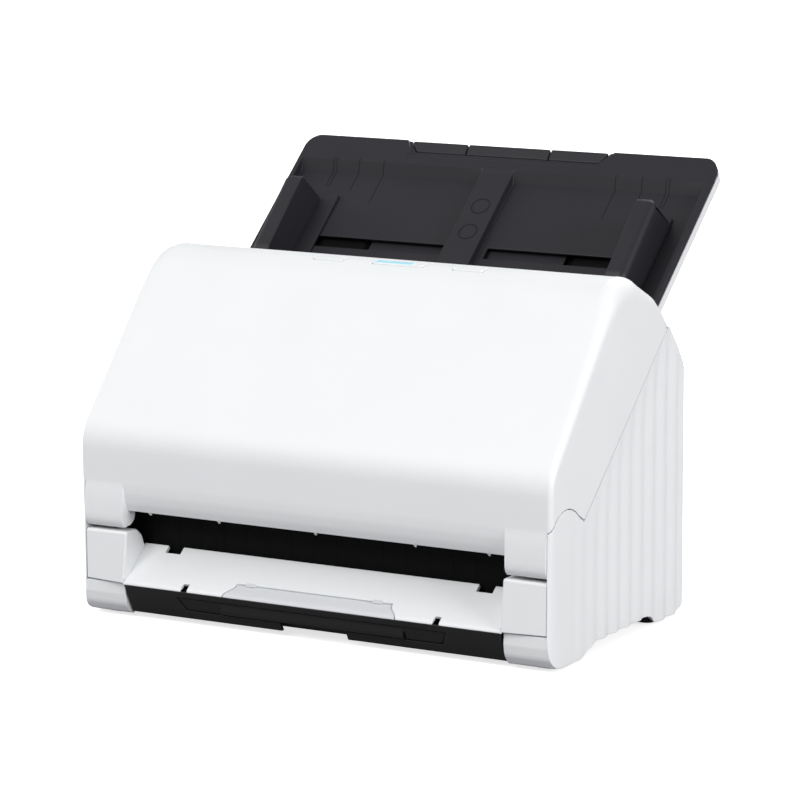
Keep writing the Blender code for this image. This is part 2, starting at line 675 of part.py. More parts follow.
def cover_guide_frame():
    """Black inner frame of the cover: the feed mouth and the upper paper guide."""
    line = [(90.5, 190.0), (105.5, 187.0), (118.0, 178.5), path_point(-128, 8),
            path_point(-141, GUIDE_HIGH_FACE), path_point(-273, GUIDE_HIGH_FACE), (14.5, 63.5), (11.5, 73.0)]
    outline = ribbon(line, 2.0)
    frame = prism("cover_guide_frame", [outline], -GUIDE_HALF + 1, GUIDE_HALF - 1, material=DARK)
    depth = (GUIDE_HIGH_FACE - 2, GUIDE_HIGH_FACE + 4)
    cut(
        frame,
        block("upper_window", (-SCAN_HALF - 1, SCAN_HALF + 1), SCAN_WINDOW, depth, TRAY),
        block("separation_window", (-FEED_HALF - 1, FEED_HALF + 1), (-162.5, -141.5), depth, TRAY),
        *roller_slots("register_pinch_slot", REGISTER_AXIS[0], 6.0, *depth),
        *roller_slots("eject_pinch_slot", EJECT_AXIS[0], 6.0, *depth),
        block("lever_slot", (95, 115), (100, 135), (168, 200)),
    )
    return frame


LATCH_AXIS = (-136.0, 20.0)
LEVER_X = (97.0, 113.0)


def cover_latch(cover_axis):
    """Cross bar in the cover with a hook at each end and the lever that turns it."""
    centre = path_point(*LATCH_AXIS)
    bar = rod("latch_bar", 2.0, (-140.5, 140.5), centre, material=STEEL, sides=12)
    hook = [(-139.0, 24.0), (-132.5, 24.0), (-132.5, -7.5), (-128.5, -10.0), (-131.0, -13.0), (-137.0, -13.0),
            (-139.0, -8.0)]
    bore = circle(LATCH_AXIS, 2.0 + GAP, 12)
    pieces = [bar]
    for name, side in (("left", -1), ("right", 1)):
        ends = sorted((side * 137.2, side * 140.2))
        pieces.append(prism(f"{name}_latch_hook", [hook, bore], *ends, frame=TRAY, material=DARK))
    lever = [(-140.5, 16.0), (-131.5, 16.0), (-126.0, 34.0), (-129.0, 38.0), (-137.5, 28.0)]
    pieces.append(prism("release_lever", [lever, bore], *LEVER_X, frame=TRAY, material=DARK))
    spinning("latch_axis", LATCH_AXIS, *pieces, parent=cover_axis)


def cover_rollers(cover_axis):
    """Rollers in the cover that press the paper on the driven ones."""
    top = GUIDE_LOW_FACE + ROLLER_GRIP + PINCH_GAP
    steps = [(-27, -FEED_HALF, 2.0), (-FEED_HALF, FEED_HALF, FEED_RADIUS), (FEED_HALF, 27, 2.0)]
    axis = (FEED_AXIS[0], top + FEED_RADIUS)
    spinning("separation_axis", axis, turned("separation_roller", steps, axis, RUBBER), parent=cover_axis)
    for name, s in (("register", REGISTER_AXIS[0]), ("eject", EJECT_AXIS[0])):
        axis = (s, top + PINCH_RADIUS)
        roller = turned(f"{name}_pinch_roller", tyre_steps(PINCH_RADIUS, 1.5, (-112, 112)), axis, DARK, 12)
        spinning(f"{name}_pinch_axis", axis, roller, parent=cover_axis)


# ---- feed tray ---------------------------------------------------------------
STEP_S = -23.0                # where the upper face steps down to the lower one
NOTCH_HALF = 64.3             # handle notch in the tray's top edge
NOTCH_S = -8.3
SLOT_S = (-82.0, -74.0)       # cross slots that the paper guides run in
TRAVEL_SLOT = (14.0, 118.0)
PLATE_H = (-6.4, -5.0)
SLIDER_H = (-8.2, -6.7)
OUTER_STAGE_H = (-9.9, -8.5)
INNER_STAGE_H = (-11.4, -10.2)


def feed_tray():
    """Black tray: lower face with the guide slots, raised frame, rails and centre rib."""
    inner = TRAY_HALF - 2.35
    plate = block("feed_tray", (-inner, inner), (TRAY_LOW, STEP_S + 2), PLATE_H, TRAY, BLACK)
    for side in (-1, 1):
        run = sorted((side * TRAVEL_SLOT[0], side * TRAVEL_SLOT[1]))
        cut(plate, block(f"travel_slot_{side}", run, SLOT_S, (PLATE_H[0] - 1, PLATE_H[1] + 1), TRAY))
    outline = round_plate(TRAY_HALF, TRAY_LOW - 0.2, 0.0, 9.0)
    notch = [(NOTCH_HALF, 0.0), (NOTCH_HALF, NOTCH_S), (-NOTCH_HALF, NOTCH_S), (-NOTCH_HALF, 0.0)]
    top = next(index for index, point in enumerate(outline) if point[0] < 0)
    window = TRAY_HALF - 3.0
    bay = [(-window, TRAY_LOW - 0.2), (-window, STEP_S), (window, STEP_S), (window, TRAY_LOW - 0.2)]
    rails = prism("tray_upper_frame", [outline[:top] + notch + outline[top:] + bay], -4.2, 0.0, "Z", TRAY)
    drop = TRAY_HALF - 2.3
    sleeve = [(drop, TRAY_LOW + 0.3), (drop, STEP_S + 1.5), (-drop, STEP_S + 1.5), (-drop, TRAY_LOW + 0.3)]
    inside = [(-window - 0.1, TRAY_LOW + 0.3), (-window - 0.1, STEP_S + 0.1), (window + 0.1, STEP_S + 0.1),
              (window + 0.1, TRAY_LOW + 0.3)]
    join(
        plate, prism("tray_sleeve", [sleeve + inside], -6.1, -3.0, "Z", TRAY), rails,
        block("tray_rib", (-10.3, 10.3), (-100, STEP_S + 1), (PLATE_H[0] + 0.3, -0.4), TRAY),
    )


def feed_tray_back():
    """White back of the tray, a shallow tub with a deeper middle for the extensions."""
    back = prism(
        "feed_tray_back", [round_plate(TRAY_HALF, TRAY_LOW, 0.0, 9.0)], -10.6, -5.3 - 1.4,
        along="Z", frame=TRAY, material=WHITE,
    )
    rim = prism("back_rim", [round_plate(TRAY_HALF, TRAY_LOW, 0.0, 9.0)], -7.0, -5.3, "Z", TRAY)
    join(back, rim, block("back_bulge", (-68, 68), (-113, BULGE_TOP[0]), (BULGE_TOP[1], -8.0), TRAY))
    cut(
        back,
        block("back_tub", (-130.9, 130.9), (TRAY_LOW - 1, -2.2), (-9.0, -4.0), TRAY),
        block("back_deep", (-66.2, 66.2), (-111, 3), (-11.7, -4.0), TRAY),
    )
    return back


def feed_extensions():
    """Two plates that draw out of the tray's top edge, one inside the other's width."""
    outer = block("feed_extension_outer", (-62.5, 62.5), (-104, -2.0), OUTER_STAGE_H, TRAY, BLACK)
    for side in (-1, 1):
        ends = sorted((side * 27.0, side * 64.0))
        join(outer, block(f"outer_handle_{side}", ends, (-8.0, -0.3), (OUTER_STAGE_H[0] + 0.1, -0.2), TRAY))
    inner = block("feed_extension_inner", (-25, 25), (-92, -2.0), INNER_STAGE_H, TRAY, BLACK)
    grip = block("inner_handle", (-26.4, 26.4), (-8.0, -0.3), (INNER_STAGE_H[0] + 0.1, -0.2), TRAY)
    join(inner, grip)
    cut(outer, block("outer_handle_gap", (-26.7, 26.7), (-9.0, 1.0), (-12, 1), TRAY))
    y, z = TRAY_TOP
    outer_slide = joint_frame("feed_outer_slide", 0, y, z)
    inner_slide = joint_frame("feed_inner_slide", 0, y, z)
    carry(outer_slide, outer)
    carry(inner_slide, inner, parent=outer_slide)


GUIDE_X = (107.0, 118.7)      # inner and outer face of a paper guide
GUIDE_PINION = (0.0, -78.0)   # x, s of the pinion between the two racks
GUIDE_PINION_TEETH = 12
RACK_TEETH = 36
RACK_DEPTH = 5.0


def rack(name, side):
    """Toothed bar in the tray's plane: side -1 is the left guide's, above the pinion."""
    pitch = math.pi * MODULE
    face = GUIDE_PINION[1] - side * pitch_radius(GUIDE_PINION_TEETH)
    tip = face + side * 0.85 * MODULE
    root = face - side * 1.15 * MODULE
    back = face - side * RACK_DEPTH
    ends = sorted((-side * 2 * pitch, side * RACK_TEETH * pitch))
    bar = block(name, ends, sorted((back, tip)), SLIDER_H, TRAY)
    first = ends[0] + 0.5 * pitch
    gap = [(first - 0.38 * pitch, tip + side), (first - 0.38 * pitch, tip), (first - 0.19 * pitch, root),
           (first + 0.19 * pitch, root), (first + 0.38 * pitch, tip), (first + 0.38 * pitch, tip + side)]
    comb = prism(name + "_tooth_gaps", [gap], SLIDER_H[0] - 1, SLIDER_H[1] + 1, "Z", TRAY)
    row = comb.modifiers.new("row", "ARRAY")
    row.use_relative_offset = False
    row.use_constant_offset = True
    row.constant_offset_displace = (pitch * MM, 0, 0)
    row.count = RACK_TEETH + 2
    cut(bar, comb)
    return bar


def paper_guide(name, side):
    """Upright guide on its base plate, with a foot through the slot and a rack below."""
    wall_side = [(-114.0, -4.6), (-114.0, 8.0), (-106.0, 18.0), (-54.0, 21.0), (-51.5, 20.0), (-47.0, -1.0),
                 (-47.0, -4.6)]
    guide = prism(name, [wall_side], *sorted((side * GUIDE_X[0], side * GUIDE_X[1])), frame=TRAY, material=BLACK)
    base_x = sorted((side * 95.6, side * 125.5))
    foot_x = sorted((side * 104.0, side * 112.0))
    plate_x = sorted((side * 102.0, side * 114.0))
    rack_s = GUIDE_PINION[1] - side * (pitch_radius(GUIDE_PINION_TEETH) + RACK_DEPTH)
    plate_s = sorted((GUIDE_PINION[1], rack_s + side * 1.2))
    join(
        guide,
        block(name + "_base", base_x, (-96, -43), (-4.7, -3.0), TRAY),
        block(name + "_foot", foot_x, (SLOT_S[0] + 0.5, SLOT_S[1] - 0.5), (SLIDER_H[0] + 0.1, -4.0), TRAY),
        block(name + "_slider", plate_x, plate_s, (SLIDER_H[0] + 0.05, SLIDER_H[1] - 0.05), TRAY),
        rack(name + "_rack", side),
    )
    y, z = path_point(-78.0, 0.0)
    carry(joint_frame(name + "_slide", side * 112.8, y, z), guide)


def guide_pinion():
    """Pinion that makes the two paper guides close in together."""
    outline = [(GUIDE_PINION[0] + u, GUIDE_PINION[1] + v)
               for u, v in gear_outline(GUIDE_PINION_TEETH, math.pi / 2 + math.pi / GUIDE_PINION_TEETH)]
    pinion = prism("guide_pinion", [outline], *SLIDER_H, along="Z", frame=TRAY, material=GEAR_RESIN)
    y, z = path_point(GUIDE_PINION[1], SLIDER_H[0])
    carry(joint_frame("guide_pinion_axis", 0, y, z), pinion)


# ---- eject extensions --------------------------------------------------------
def eject_extensions():
    """Two drawers under the eject tray that pull forward, one under the other."""
    outer = block("eject_extension_outer", (-80, 80), (7.0, 144.0), (13.4, 15.6), material=DARK)
    face = [(4.7, 16.1), (8.2, 9.1), (10.5, 9.1), (10.5, 16.1)]
    join(outer, prism("outer_drawer_face", [face], -83.3, 83.3))
    cut(outer, block("inner_drawer_mouth", (-57.6, 57.6), (0, 12), (5, 13.1)))
    inner = block("eject_extension_inner", (-56, 56), (4.0, 138.0), (10.4, 12.6), material=DARK)
    grip = [(1.0, 12.8), (1.6, 9.4), (4.0, 8.9), (7.0, 8.9), (7.0, 12.8)]
    join(inner, prism("inner_drawer_grip", [grip], -56.8, 56.8))
    outer_slide = joint_frame("eject_outer_slide", 0, 7.0, 14.5)
    inner_slide = joint_frame("eject_inner_slide", 0, 4.0, 11.5)
    carry(outer_slide, outer)
    carry(inner_slide, inner, parent=outer_slide)


# ---- assembly ----------------------------------------------------------------
side_casing("left_side_casing", -1)
side_casing("right_side_casing", 1)
rear_cover()
ports_and_board()
base_and_feet()
eject_tray()
stopper_flap()
lower_paper_guide()
side_plates()
driven_rollers(gear_train())
drive_motor()
hinge_pins()

COVER_AXIS = joint_frame("cover_axis", 0, *COVER_PIVOT)
carry(COVER_AXIS, front_cover(), cover_guide_frame(), *scan_units())
buttons(COVER_AXIS)
cover_latch(COVER_AXIS)
cover_rollers(COVER_AXIS)

feed_tray()
feed_tray_back()
feed_extensions()
paper_guide("left_paper_guide", -1)
paper_guide("right_paper_guide", 1)
guide_pinion()
eject_extensions()
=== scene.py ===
"""Looks of a compact desktop sheet fed document scanner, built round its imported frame.

Drawings are in millimetres. The desk frame has x across, y back from the plane of the
front face and z up from the desk. The path frame has x across, s up the sloping feed
tray from its top edge, so points lower down are negative, and h off its upper face.
"""
import math

import bpy
import mathutils
import numpy as np
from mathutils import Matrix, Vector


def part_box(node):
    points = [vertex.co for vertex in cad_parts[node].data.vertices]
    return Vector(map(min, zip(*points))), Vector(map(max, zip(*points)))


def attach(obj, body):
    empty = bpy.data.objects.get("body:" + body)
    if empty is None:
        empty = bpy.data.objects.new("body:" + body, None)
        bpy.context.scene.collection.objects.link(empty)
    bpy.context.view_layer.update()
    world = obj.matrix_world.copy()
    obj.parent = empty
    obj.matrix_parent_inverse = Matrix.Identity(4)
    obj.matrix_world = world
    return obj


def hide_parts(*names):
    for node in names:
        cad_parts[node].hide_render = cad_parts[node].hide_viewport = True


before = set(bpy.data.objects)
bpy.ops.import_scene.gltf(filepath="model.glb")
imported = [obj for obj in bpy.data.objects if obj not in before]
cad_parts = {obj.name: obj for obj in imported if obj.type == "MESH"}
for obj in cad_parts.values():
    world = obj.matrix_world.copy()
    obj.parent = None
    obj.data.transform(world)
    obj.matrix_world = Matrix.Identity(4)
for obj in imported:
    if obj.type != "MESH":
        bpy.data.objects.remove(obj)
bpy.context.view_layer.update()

MM = 0.001

# ---- Studio --------------------------------------------------------------------------
# The scanner stands on a plain white sweep among four large soft boxes and an even white
# surround. The sweep glows for the camera only, and throws back less light than it shows.


def added(tree, kind, values=None, **settings):
    """A new node; values give its inputs by name or place, as numbers or as sockets."""
    made = tree.nodes.new(kind)
    for name, value in settings.items():
        setattr(made, name, value)
    for name, value in (values or {}).items():
        if isinstance(value, bpy.types.NodeSocket):
            tree.links.new(value, made.inputs[name])
        else:
            made.inputs[name].default_value = value
    return made


CAMERA_PLACE = (1.037513, -1.849581, 0.507023)
YAW, PITCH, ROLL = (math.radians(angle) for angle in (29.5197, 10.5021, -0.2394))

camera_data = bpy.data.cameras.new("studio_camera")
camera_data.lens = 174.74
camera_data.sensor_width = 36.0
camera_data.clip_start = 0.1
camera_data.clip_end = 60.0
camera = bpy.data.objects.new("studio_camera", camera_data)
ahead = np.array((-math.sin(YAW) * math.cos(PITCH), math.cos(YAW) * math.cos(PITCH), -math.sin(PITCH)))
level = np.array((math.cos(YAW), math.sin(YAW), 0.0))
upright = np.cross(level, ahead)
right = math.cos(ROLL) * level + math.sin(ROLL) * upright
above = math.cos(ROLL) * upright - math.sin(ROLL) * level
camera.matrix_world = mathutils.Matrix([
    (*row, place) for row, place in zip(np.column_stack((right, above, -ahead)), CAMERA_PLACE)
] + [(0, 0, 0, 1)])
bpy.context.scene.collection.objects.link(camera)
bpy.context.scene.camera = camera

sweep_mesh = bpy.data.meshes.new("studio_floor")
reach = 14.0
sweep_mesh.from_pydata(
    [(-reach, -reach, 0), (reach, -reach, 0), (reach, reach, 0), (-reach, reach, 0)], [], [(0, 1, 2, 3)]
)
sweep = bpy.data.objects.new("studio_floor", sweep_mesh)
bpy.context.scene.collection.objects.link(sweep)
paper = bpy.data.materials.new("white_sweep")
paper.use_nodes = True
paper_shader = paper.node_tree.nodes["Principled BSDF"]
paper_shader.inputs["Roughness"].default_value = 0.9
paper_shader.inputs["Specular IOR Level"].default_value = 0.1
paper_shader.inputs["Emission Color"].default_value = (1.0, 1.0, 1.0, 1)
seen = added(paper.node_tree, "ShaderNodeLightPath").outputs["Is Camera Ray"]
fibres = added(paper.node_tree, "ShaderNodeTexNoise", {"Scale": 40.0, "Detail": 4.0})
paper_tone = added(
    paper.node_tree, "ShaderNodeMix",
    {0: fibres.outputs["Fac"], 6: (0.86, 0.86, 0.865, 1), 7: (0.9, 0.9, 0.9, 1)}, data_type="RGBA",
)
bounce = added(
    paper.node_tree, "ShaderNodeMix",
    {0: seen, 6: (0.30, 0.30, 0.31, 1), 7: paper_tone.outputs[2]}, data_type="RGBA",
)
glow = added(paper.node_tree, "ShaderNodeMath", {0: seen, 1: 0.72}, operation="MULTIPLY")
paper.node_tree.links.new(bounce.outputs[2], paper_shader.inputs["Base Color"])
paper.node_tree.links.new(glow.outputs[0], paper_shader.inputs["Emission Strength"])
sweep_mesh.materials.append(paper)

surround = bpy.data.worlds.new("white_surround")
surround.use_nodes = True
surround.node_tree.nodes["Background"].inputs["Color"].default_value = (0.97, 0.985, 1.0, 1)
surround.node_tree.nodes["Background"].inputs["Strength"].default_value = 0.45
bpy.context.scene.world = surround
bpy.context.scene.view_settings.view_transform = "Standard"

SOFT_BOXES = (                # name, place, width, power in watts
    ("front_soft_box", (-0.5, -1.95, 1.75), 1.5, 36.0),
    ("right_soft_box", (2.4, -0.45, 0.75), 1.1, 36.0),
    ("left_soft_box", (-2.4, -0.1, 0.9), 1.1, 14.0),
    ("rear_soft_box", (-0.2, 2.3, 1.5), 1.3, 26.0),
)
for name, place, width, power in SOFT_BOXES:
    lamp = bpy.data.lights.new(name, "AREA")
    lamp.size = width
    lamp.energy = power
    holder = bpy.data.objects.new(name, lamp)
    holder.location = place
    towards = np.array((0.0, 0.0, 0.1)) - np.array(place)
    flat = math.hypot(towards[0], towards[1])
    holder.rotation_euler = (math.atan2(flat, -towards[2]), 0, math.atan2(-towards[0], towards[1]))
    bpy.context.scene.collection.objects.link(holder)

# ---- Base pan and feet ---------------------------------------------------------------
# A flat black pan closes the bottom, pressed from 2.5 mm sheet with turned corners, and
# the scanner stands on four soft rubber pads glued into it.

FRONT_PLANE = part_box("eject_tray")[0].y + 3.4 * MM     # the tray's lip stands 3.4 mm proud


def on_desk(points):
    """Points x, y, z of the desk frame in metres."""
    return np.asarray(points, float) * MM + (0, FRONT_PLANE, 0)


def softened(corners, radii, steps=6):
    """Closed outline with each corner replaced by an arc that touches both its sides.

    The arc starts r / tan(half the corner's angle) away from the corner, and its points
    turn evenly from one side to the other about the centre on the corner's bisector.
    """
    corners = np.asarray(corners, float)
    before = np.roll(corners, 1, 0) - corners
    after = np.roll(corners, -1, 0) - corners
    length_before = np.linalg.norm(before, axis=1)
    length_after = np.linalg.norm(after, axis=1)
    before /= length_before[:, None]
    after /= length_after[:, None]
    half = np.arccos(np.clip((before * after).sum(1), -0.99999, 0.99999)) / 2
    room = 0.49 * np.minimum(length_before, length_after) * np.tan(half)
    radius = np.minimum(np.broadcast_to(np.asarray(radii, float), half.shape), room)
    bisector = before + after
    bisector /= np.maximum(np.linalg.norm(bisector, axis=1), 1e-9)[:, None]
    centre = corners + bisector * (radius / np.sin(half))[:, None]
    start = corners + before * (radius / np.tan(half))[:, None] - centre
    end = corners + after * (radius / np.tan(half))[:, None] - centre
    turn = (math.pi - 2 * half)[:, None, None]
    share = np.linspace(0, 1, steps + 1)[None, :, None]
    arcs = (np.sin((1 - share) * turn) * start[:, None] + np.sin(share * turn) * end[:, None])
    arcs = arcs / np.maximum(np.sin(turn), 1e-9) + centre[:, None]
    line = arcs.reshape(-1, 2)
    fresh = np.linalg.norm(line - np.roll(line, 1, 0), axis=1) > 0.004
    return line[fresh]


def inset(outline, distance):
    """The closed outline moved inwards: each point goes along the mitre of its two sides."""
    outline = np.asarray(outline, float)
    ahead = np.roll(outline, -1, 0) - outline
    ahead /= np.linalg.norm(ahead, axis=1)[:, None]
    left = np.stack((-ahead[:, 1], ahead[:, 0]), -1)
    mitre = left + np.roll(left, 1, 0)
    mitre /= np.maximum((mitre * left).sum(1), 0.3)[:, None]
    area = (outline[:, 0] * np.roll(outline[:, 1], -1) - outline[:, 1] * np.roll(outline[:, 0], -1)).sum()
    return outline + np.sign(area) * mitre * np.reshape(distance, (-1, 1))


def stacked(outline, low, high, low_round, high_round, share=1.0, steps=4):
    """Rings (k, n, 3) of along, u, v: an outline carried from low to high.

    At each end the edge is a quarter circle of the given radius: at the angle a the ring
    lies r (1 - sin a) from the end and r (1 - cos a) inside the outline. Share scales
    the inset of each point, so that parts of an edge can stay sharp.
    """
    angles = np.linspace(0, math.pi / 2, steps + 1)
    near, deep = 1 - np.cos(angles), 1 - np.sin(angles)
    places = np.concatenate((low + low_round * near, high - high_round * near[::-1]))
    depths = np.concatenate((low_round * deep, high_round * deep[::-1]))
    share = np.broadcast_to(np.asarray(share, float), len(outline))
    rings = [
        np.column_stack((np.full(len(outline), place), inset(outline, depth * share)))
        for place, depth in zip(places, depths)
    ]
    return np.stack(rings)


def outward(points, faces):
    """The same faces, all turned round if the volume that they close is negative."""
    corners = points[[face[0] for face in faces]], points[[face[1] for face in faces]]
    thirds = points[[face[2] for face in faces]]
    fourths = points[[face[3] if len(face) > 3 else face[2] for face in faces]]
    middle = points.mean(0)
    a, b, c, d = corners[0] - middle, corners[1] - middle, thirds - middle, fourths - middle
    volume = (a * np.cross(b, c)).sum() + (a * np.cross(c, d)).sum()
    return faces if volume > 0 else [face[::-1] for face in faces]


def skinned(rings):
    """Closed skin over a stack of rings: quads between them and one flat face on each end."""
    levels, count = rings.shape[:2]
    index = np.arange(levels * count).reshape(levels, count)
    across = np.roll(index, -1, 1)
    quads = np.stack((index[:-1], across[:-1], across[1:], index[1:]), -1).reshape(-1, 4)
    points = rings.reshape(-1, 3)
    sides = outward(points, quads.tolist())
    turned_round = sides[0] != quads[0].tolist()
    ends = [index[0][::-1].tolist(), index[-1].tolist()]
    return points, sides + ([end[::-1] for end in ends] if turned_round else ends)


def walled(outer, inner, keep=None):
    """Closed wall between two grids of points, (rows, columns, 3) each.

    Every kept cell gives a face on both grids. A side of a kept cell with no kept cell
    beyond it gives a rim face between the grids.
    """
    rows, columns = outer.shape[:2]
    if keep is None:
        keep = np.ones((rows - 1, columns - 1), bool)
    index = np.arange(rows * columns).reshape(rows, columns)
    a, b, c, d = index[:-1, :-1], index[1:, :-1], index[1:, 1:], index[:-1, 1:]
    far = rows * columns
    round_about = np.pad(keep, 1)
    faces = [np.stack((a, b, c, d), -1)[keep], np.stack((d, c, b, a), -1)[keep] + far]
    beyond = (
        (a, b, round_about[1:-1, :-2]), (b, c, round_about[2:, 1:-1]),
        (c, d, round_about[1:-1, 2:]), (d, a, round_about[:-2, 1:-1]),
    )
    for first, second, neighbour in beyond:
        rim = keep & ~neighbour
        faces.append(np.stack((second, first, first + far, second + far), -1)[rim])
    faces = np.concatenate(faces)
    used, faces = np.unique(faces, return_inverse=True)
    points = np.concatenate((outer.reshape(-1, 3), inner.reshape(-1, 3)))[used]
    return points, outward(points, faces.reshape(-1, 4).tolist())


def piece(name, material, *shapes, crease=38.0, edge=0.0, edge_angle=50.0):
    """One mesh object from one or more (points, faces) shapes, in metres.

    Edges sharper than the crease angle stay sharp; an edge width rounds them instead.
    """
    points, faces, offset = [], [], 0
    for shape_points, shape_faces in shapes:
        points.append(np.asarray(shape_points))
        faces += [[corner + offset for corner in face] for face in shape_faces]
        offset += len(shape_points)
    mesh = bpy.data.meshes.new(name)
    mesh.from_pydata(np.concatenate(points).tolist(), [], faces)
    mesh.validate()
    mesh.shade_smooth()
    mesh.set_sharp_from_angle(angle=math.radians(crease))
    mesh.materials.append(material)
    made = bpy.data.objects.new(name, mesh)
    bpy.context.scene.collection.objects.link(made)
    if edge:
        rounding = made.modifiers.new("rounded_edges", "BEVEL")
        rounding.width = edge * MM
        rounding.segments = 3
        rounding.limit_method = "ANGLE"
        rounding.angle_limit = math.radians(edge_angle)
        rounding.use_clamp_overlap = False
    weighted = made.modifiers.new("even_shading", "WEIGHTED_NORMAL")
    weighted.keep_sharp = True
    weighted.weight = 60
    return made


def fitted(made, body, slot, *nodes):
    """The piece rides on its body and hides the nodes that it stands for. The slot is not used."""
    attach(made, body)
    if nodes:
        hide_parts(*nodes)
    return made


def grain_group():
    """Skin of moulded plastic: spark eroded grain, and faint clouds of tone and gloss."""
    group = bpy.data.node_groups.new("moulded_grain", "ShaderNodeTree")
    for name, kind in (("Colour", "NodeSocketColor"), ("Roughness", "NodeSocketFloat"),
                       ("Grain scale", "NodeSocketFloat"), ("Cloudiness", "NodeSocketFloat")):
        group.interface.new_socket(name=name, in_out="INPUT", socket_type=kind)
    for name, kind in (("Colour", "NodeSocketColor"), ("Roughness", "NodeSocketFloat"),
                       ("Height", "NodeSocketFloat")):
        group.interface.new_socket(name=name, in_out="OUTPUT", socket_type=kind)
    given = group.nodes.new("NodeGroupInput").outputs
    place = added(group, "ShaderNodeTexCoord").outputs["Object"]
    pits = added(group, "ShaderNodeTexNoise", {
        "Vector": place, "Scale": given["Grain scale"], "Detail": 3.0, "Roughness": 0.6,
    })
    clouds = added(group, "ShaderNodeTexNoise", {"Vector": place, "Scale": 22.0, "Detail": 3.0})
    drift = added(group, "ShaderNodeMath", {0: clouds.outputs["Fac"], 1: 0.5}, operation="SUBTRACT")
    tone = added(group, "ShaderNodeMath", {0: drift.outputs[0], 1: given["Cloudiness"], 2: 1.0},
                 operation="MULTIPLY_ADD")
    colour = added(group, "ShaderNodeVectorMath", {0: given["Colour"], 3: tone.outputs[0]}, operation="SCALE")
    gloss = added(group, "ShaderNodeMath", {0: drift.outputs[0], 1: 0.25, 2: given["Roughness"]},
                  operation="MULTIPLY_ADD")
    speckle = added(group, "ShaderNodeMath", {0: pits.outputs["Fac"], 1: 0.08, 2: gloss.outputs[0]},
                    operation="MULTIPLY_ADD")
    added(group, "NodeGroupOutput", {
        "Colour": colour.outputs["Vector"], "Roughness": speckle.outputs[0], "Height": pits.outputs["Fac"],
    })
    return group


def edge_sheen_group():
    """Painted highlight on edges: a mask that is 1 on convex edges, broken up by fine noise."""
    group = bpy.data.node_groups.new("painted_edge_sheen", "ShaderNodeTree")
    group.interface.new_socket(name="Amount", in_out="INPUT", socket_type="NodeSocketFloat")
    group.interface.new_socket(name="Mask", in_out="OUTPUT", socket_type="NodeSocketFloat")
    given = group.nodes.new("NodeGroupInput").outputs
    place = added(group, "ShaderNodeTexCoord").outputs["Object"]
    bend = added(group, "ShaderNodeNewGeometry").outputs["Pointiness"]
    convex = added(group, "ShaderNodeMapRange", {"Value": bend, "From Min": 0.52, "From Max": 0.62})
    patches = added(group, "ShaderNodeTexNoise", {"Vector": place, "Scale": 180.0, "Detail": 4.0})
    broken = added(group, "ShaderNodeMath", {0: convex.outputs["Result"], 1: patches.outputs["Fac"]},
                   operation="MULTIPLY")
    mask = added(group, "ShaderNodeMath", {0: broken.outputs[0], 1: given["Amount"]},
                 operation="MULTIPLY", use_clamp=True)
    added(group, "NodeGroupOutput", {"Mask": mask.outputs[0]})
    return group


def dust_group():
    """Dust that settles on faces that look up: a mask from the normal and a soft noise."""
    group = bpy.data.node_groups.new("settled_dust", "ShaderNodeTree")
    group.interface.new_socket(name="Amount", in_out="INPUT", socket_type="NodeSocketFloat")
    group.interface.new_socket(name="Mask", in_out="OUTPUT", socket_type="NodeSocketFloat")
    given = group.nodes.new("NodeGroupInput").outputs
    place = added(group, "ShaderNodeTexCoord").outputs["Object"]
    normal = added(group, "ShaderNodeNewGeometry").outputs["Normal"]
    height = added(group, "ShaderNodeSeparateXYZ", {"Vector": normal}).outputs["Z"]
    level = added(group, "ShaderNodeMapRange", {"Value": height, "From Min": 0.45, "From Max": 1.0})
    specks = added(group, "ShaderNodeTexNoise", {"Vector": place, "Scale": 900.0, "Detail": 2.0})
    drifts = added(group, "ShaderNodeTexNoise", {"Vector": place, "Scale": 30.0, "Detail": 2.0})
    both = added(group, "ShaderNodeMath", {0: specks.outputs["Fac"], 1: drifts.outputs["Fac"]},
                 operation="MULTIPLY")
    lying = added(group, "ShaderNodeMath", {0: both.outputs[0], 1: level.outputs["Result"]},
                  operation="MULTIPLY")
    mask = added(group, "ShaderNodeMath", {0: lying.outputs[0], 1: given["Amount"]},
                 operation="MULTIPLY", use_clamp=True)
    added(group, "NodeGroupOutput", {"Mask": mask.outputs[0]})
    return group


GRAIN = grain_group()
EDGE_SHEEN_GROUP = edge_sheen_group()
DUST = dust_group()


def plastic(name, colour, roughness, grain=(1400.0, 0.00002), cloudiness=0.03, edge_sheen=0.1, dust=0.1,
            gloss=0.5):
    """Moulded plastic: grained, its edges lightened as a painted highlight, and dusty on its top faces."""
    material = bpy.data.materials.new(name)
    material.use_nodes = True
    tree = material.node_tree
    shader = tree.nodes["Principled BSDF"]
    skin = added(tree, "ShaderNodeGroup", node_tree=GRAIN)
    for socket, value in (("Colour", (*colour, 1)), ("Roughness", roughness), ("Grain scale", grain[0]),
                          ("Cloudiness", cloudiness)):
        skin.inputs[socket].default_value = value
    sheen_mask = added(tree, "ShaderNodeGroup", node_tree=EDGE_SHEEN_GROUP)
    sheen_mask.inputs["Amount"].default_value = edge_sheen
    dusty = added(tree, "ShaderNodeGroup", node_tree=DUST)
    dusty.inputs["Amount"].default_value = dust
    # Convex edges are lightened towards this tone: a painted highlight, not wear.
    sheen_tone = tuple(min(1.0, part * 1.5 + 0.03) for part in colour)
    edges = added(tree, "ShaderNodeMix", {
        0: sheen_mask.outputs["Mask"], 6: skin.outputs["Colour"], 7: (*sheen_tone, 1),
    }, data_type="RGBA")
    covered = added(tree, "ShaderNodeMix", {
        0: dusty.outputs["Mask"], 6: edges.outputs[2], 7: (0.42, 0.41, 0.40, 1),
    }, data_type="RGBA")
    relief = added(tree, "ShaderNodeBump", {
        "Height": skin.outputs["Height"], "Distance": grain[1], "Strength": 1.0,
    })
    tree.links.new(covered.outputs[2], shader.inputs["Base Color"])
    tree.links.new(skin.outputs["Roughness"], shader.inputs["Roughness"])
    tree.links.new(relief.outputs["Normal"], shader.inputs["Normal"])
    shader.inputs["Specular IOR Level"].default_value = gloss
    return material


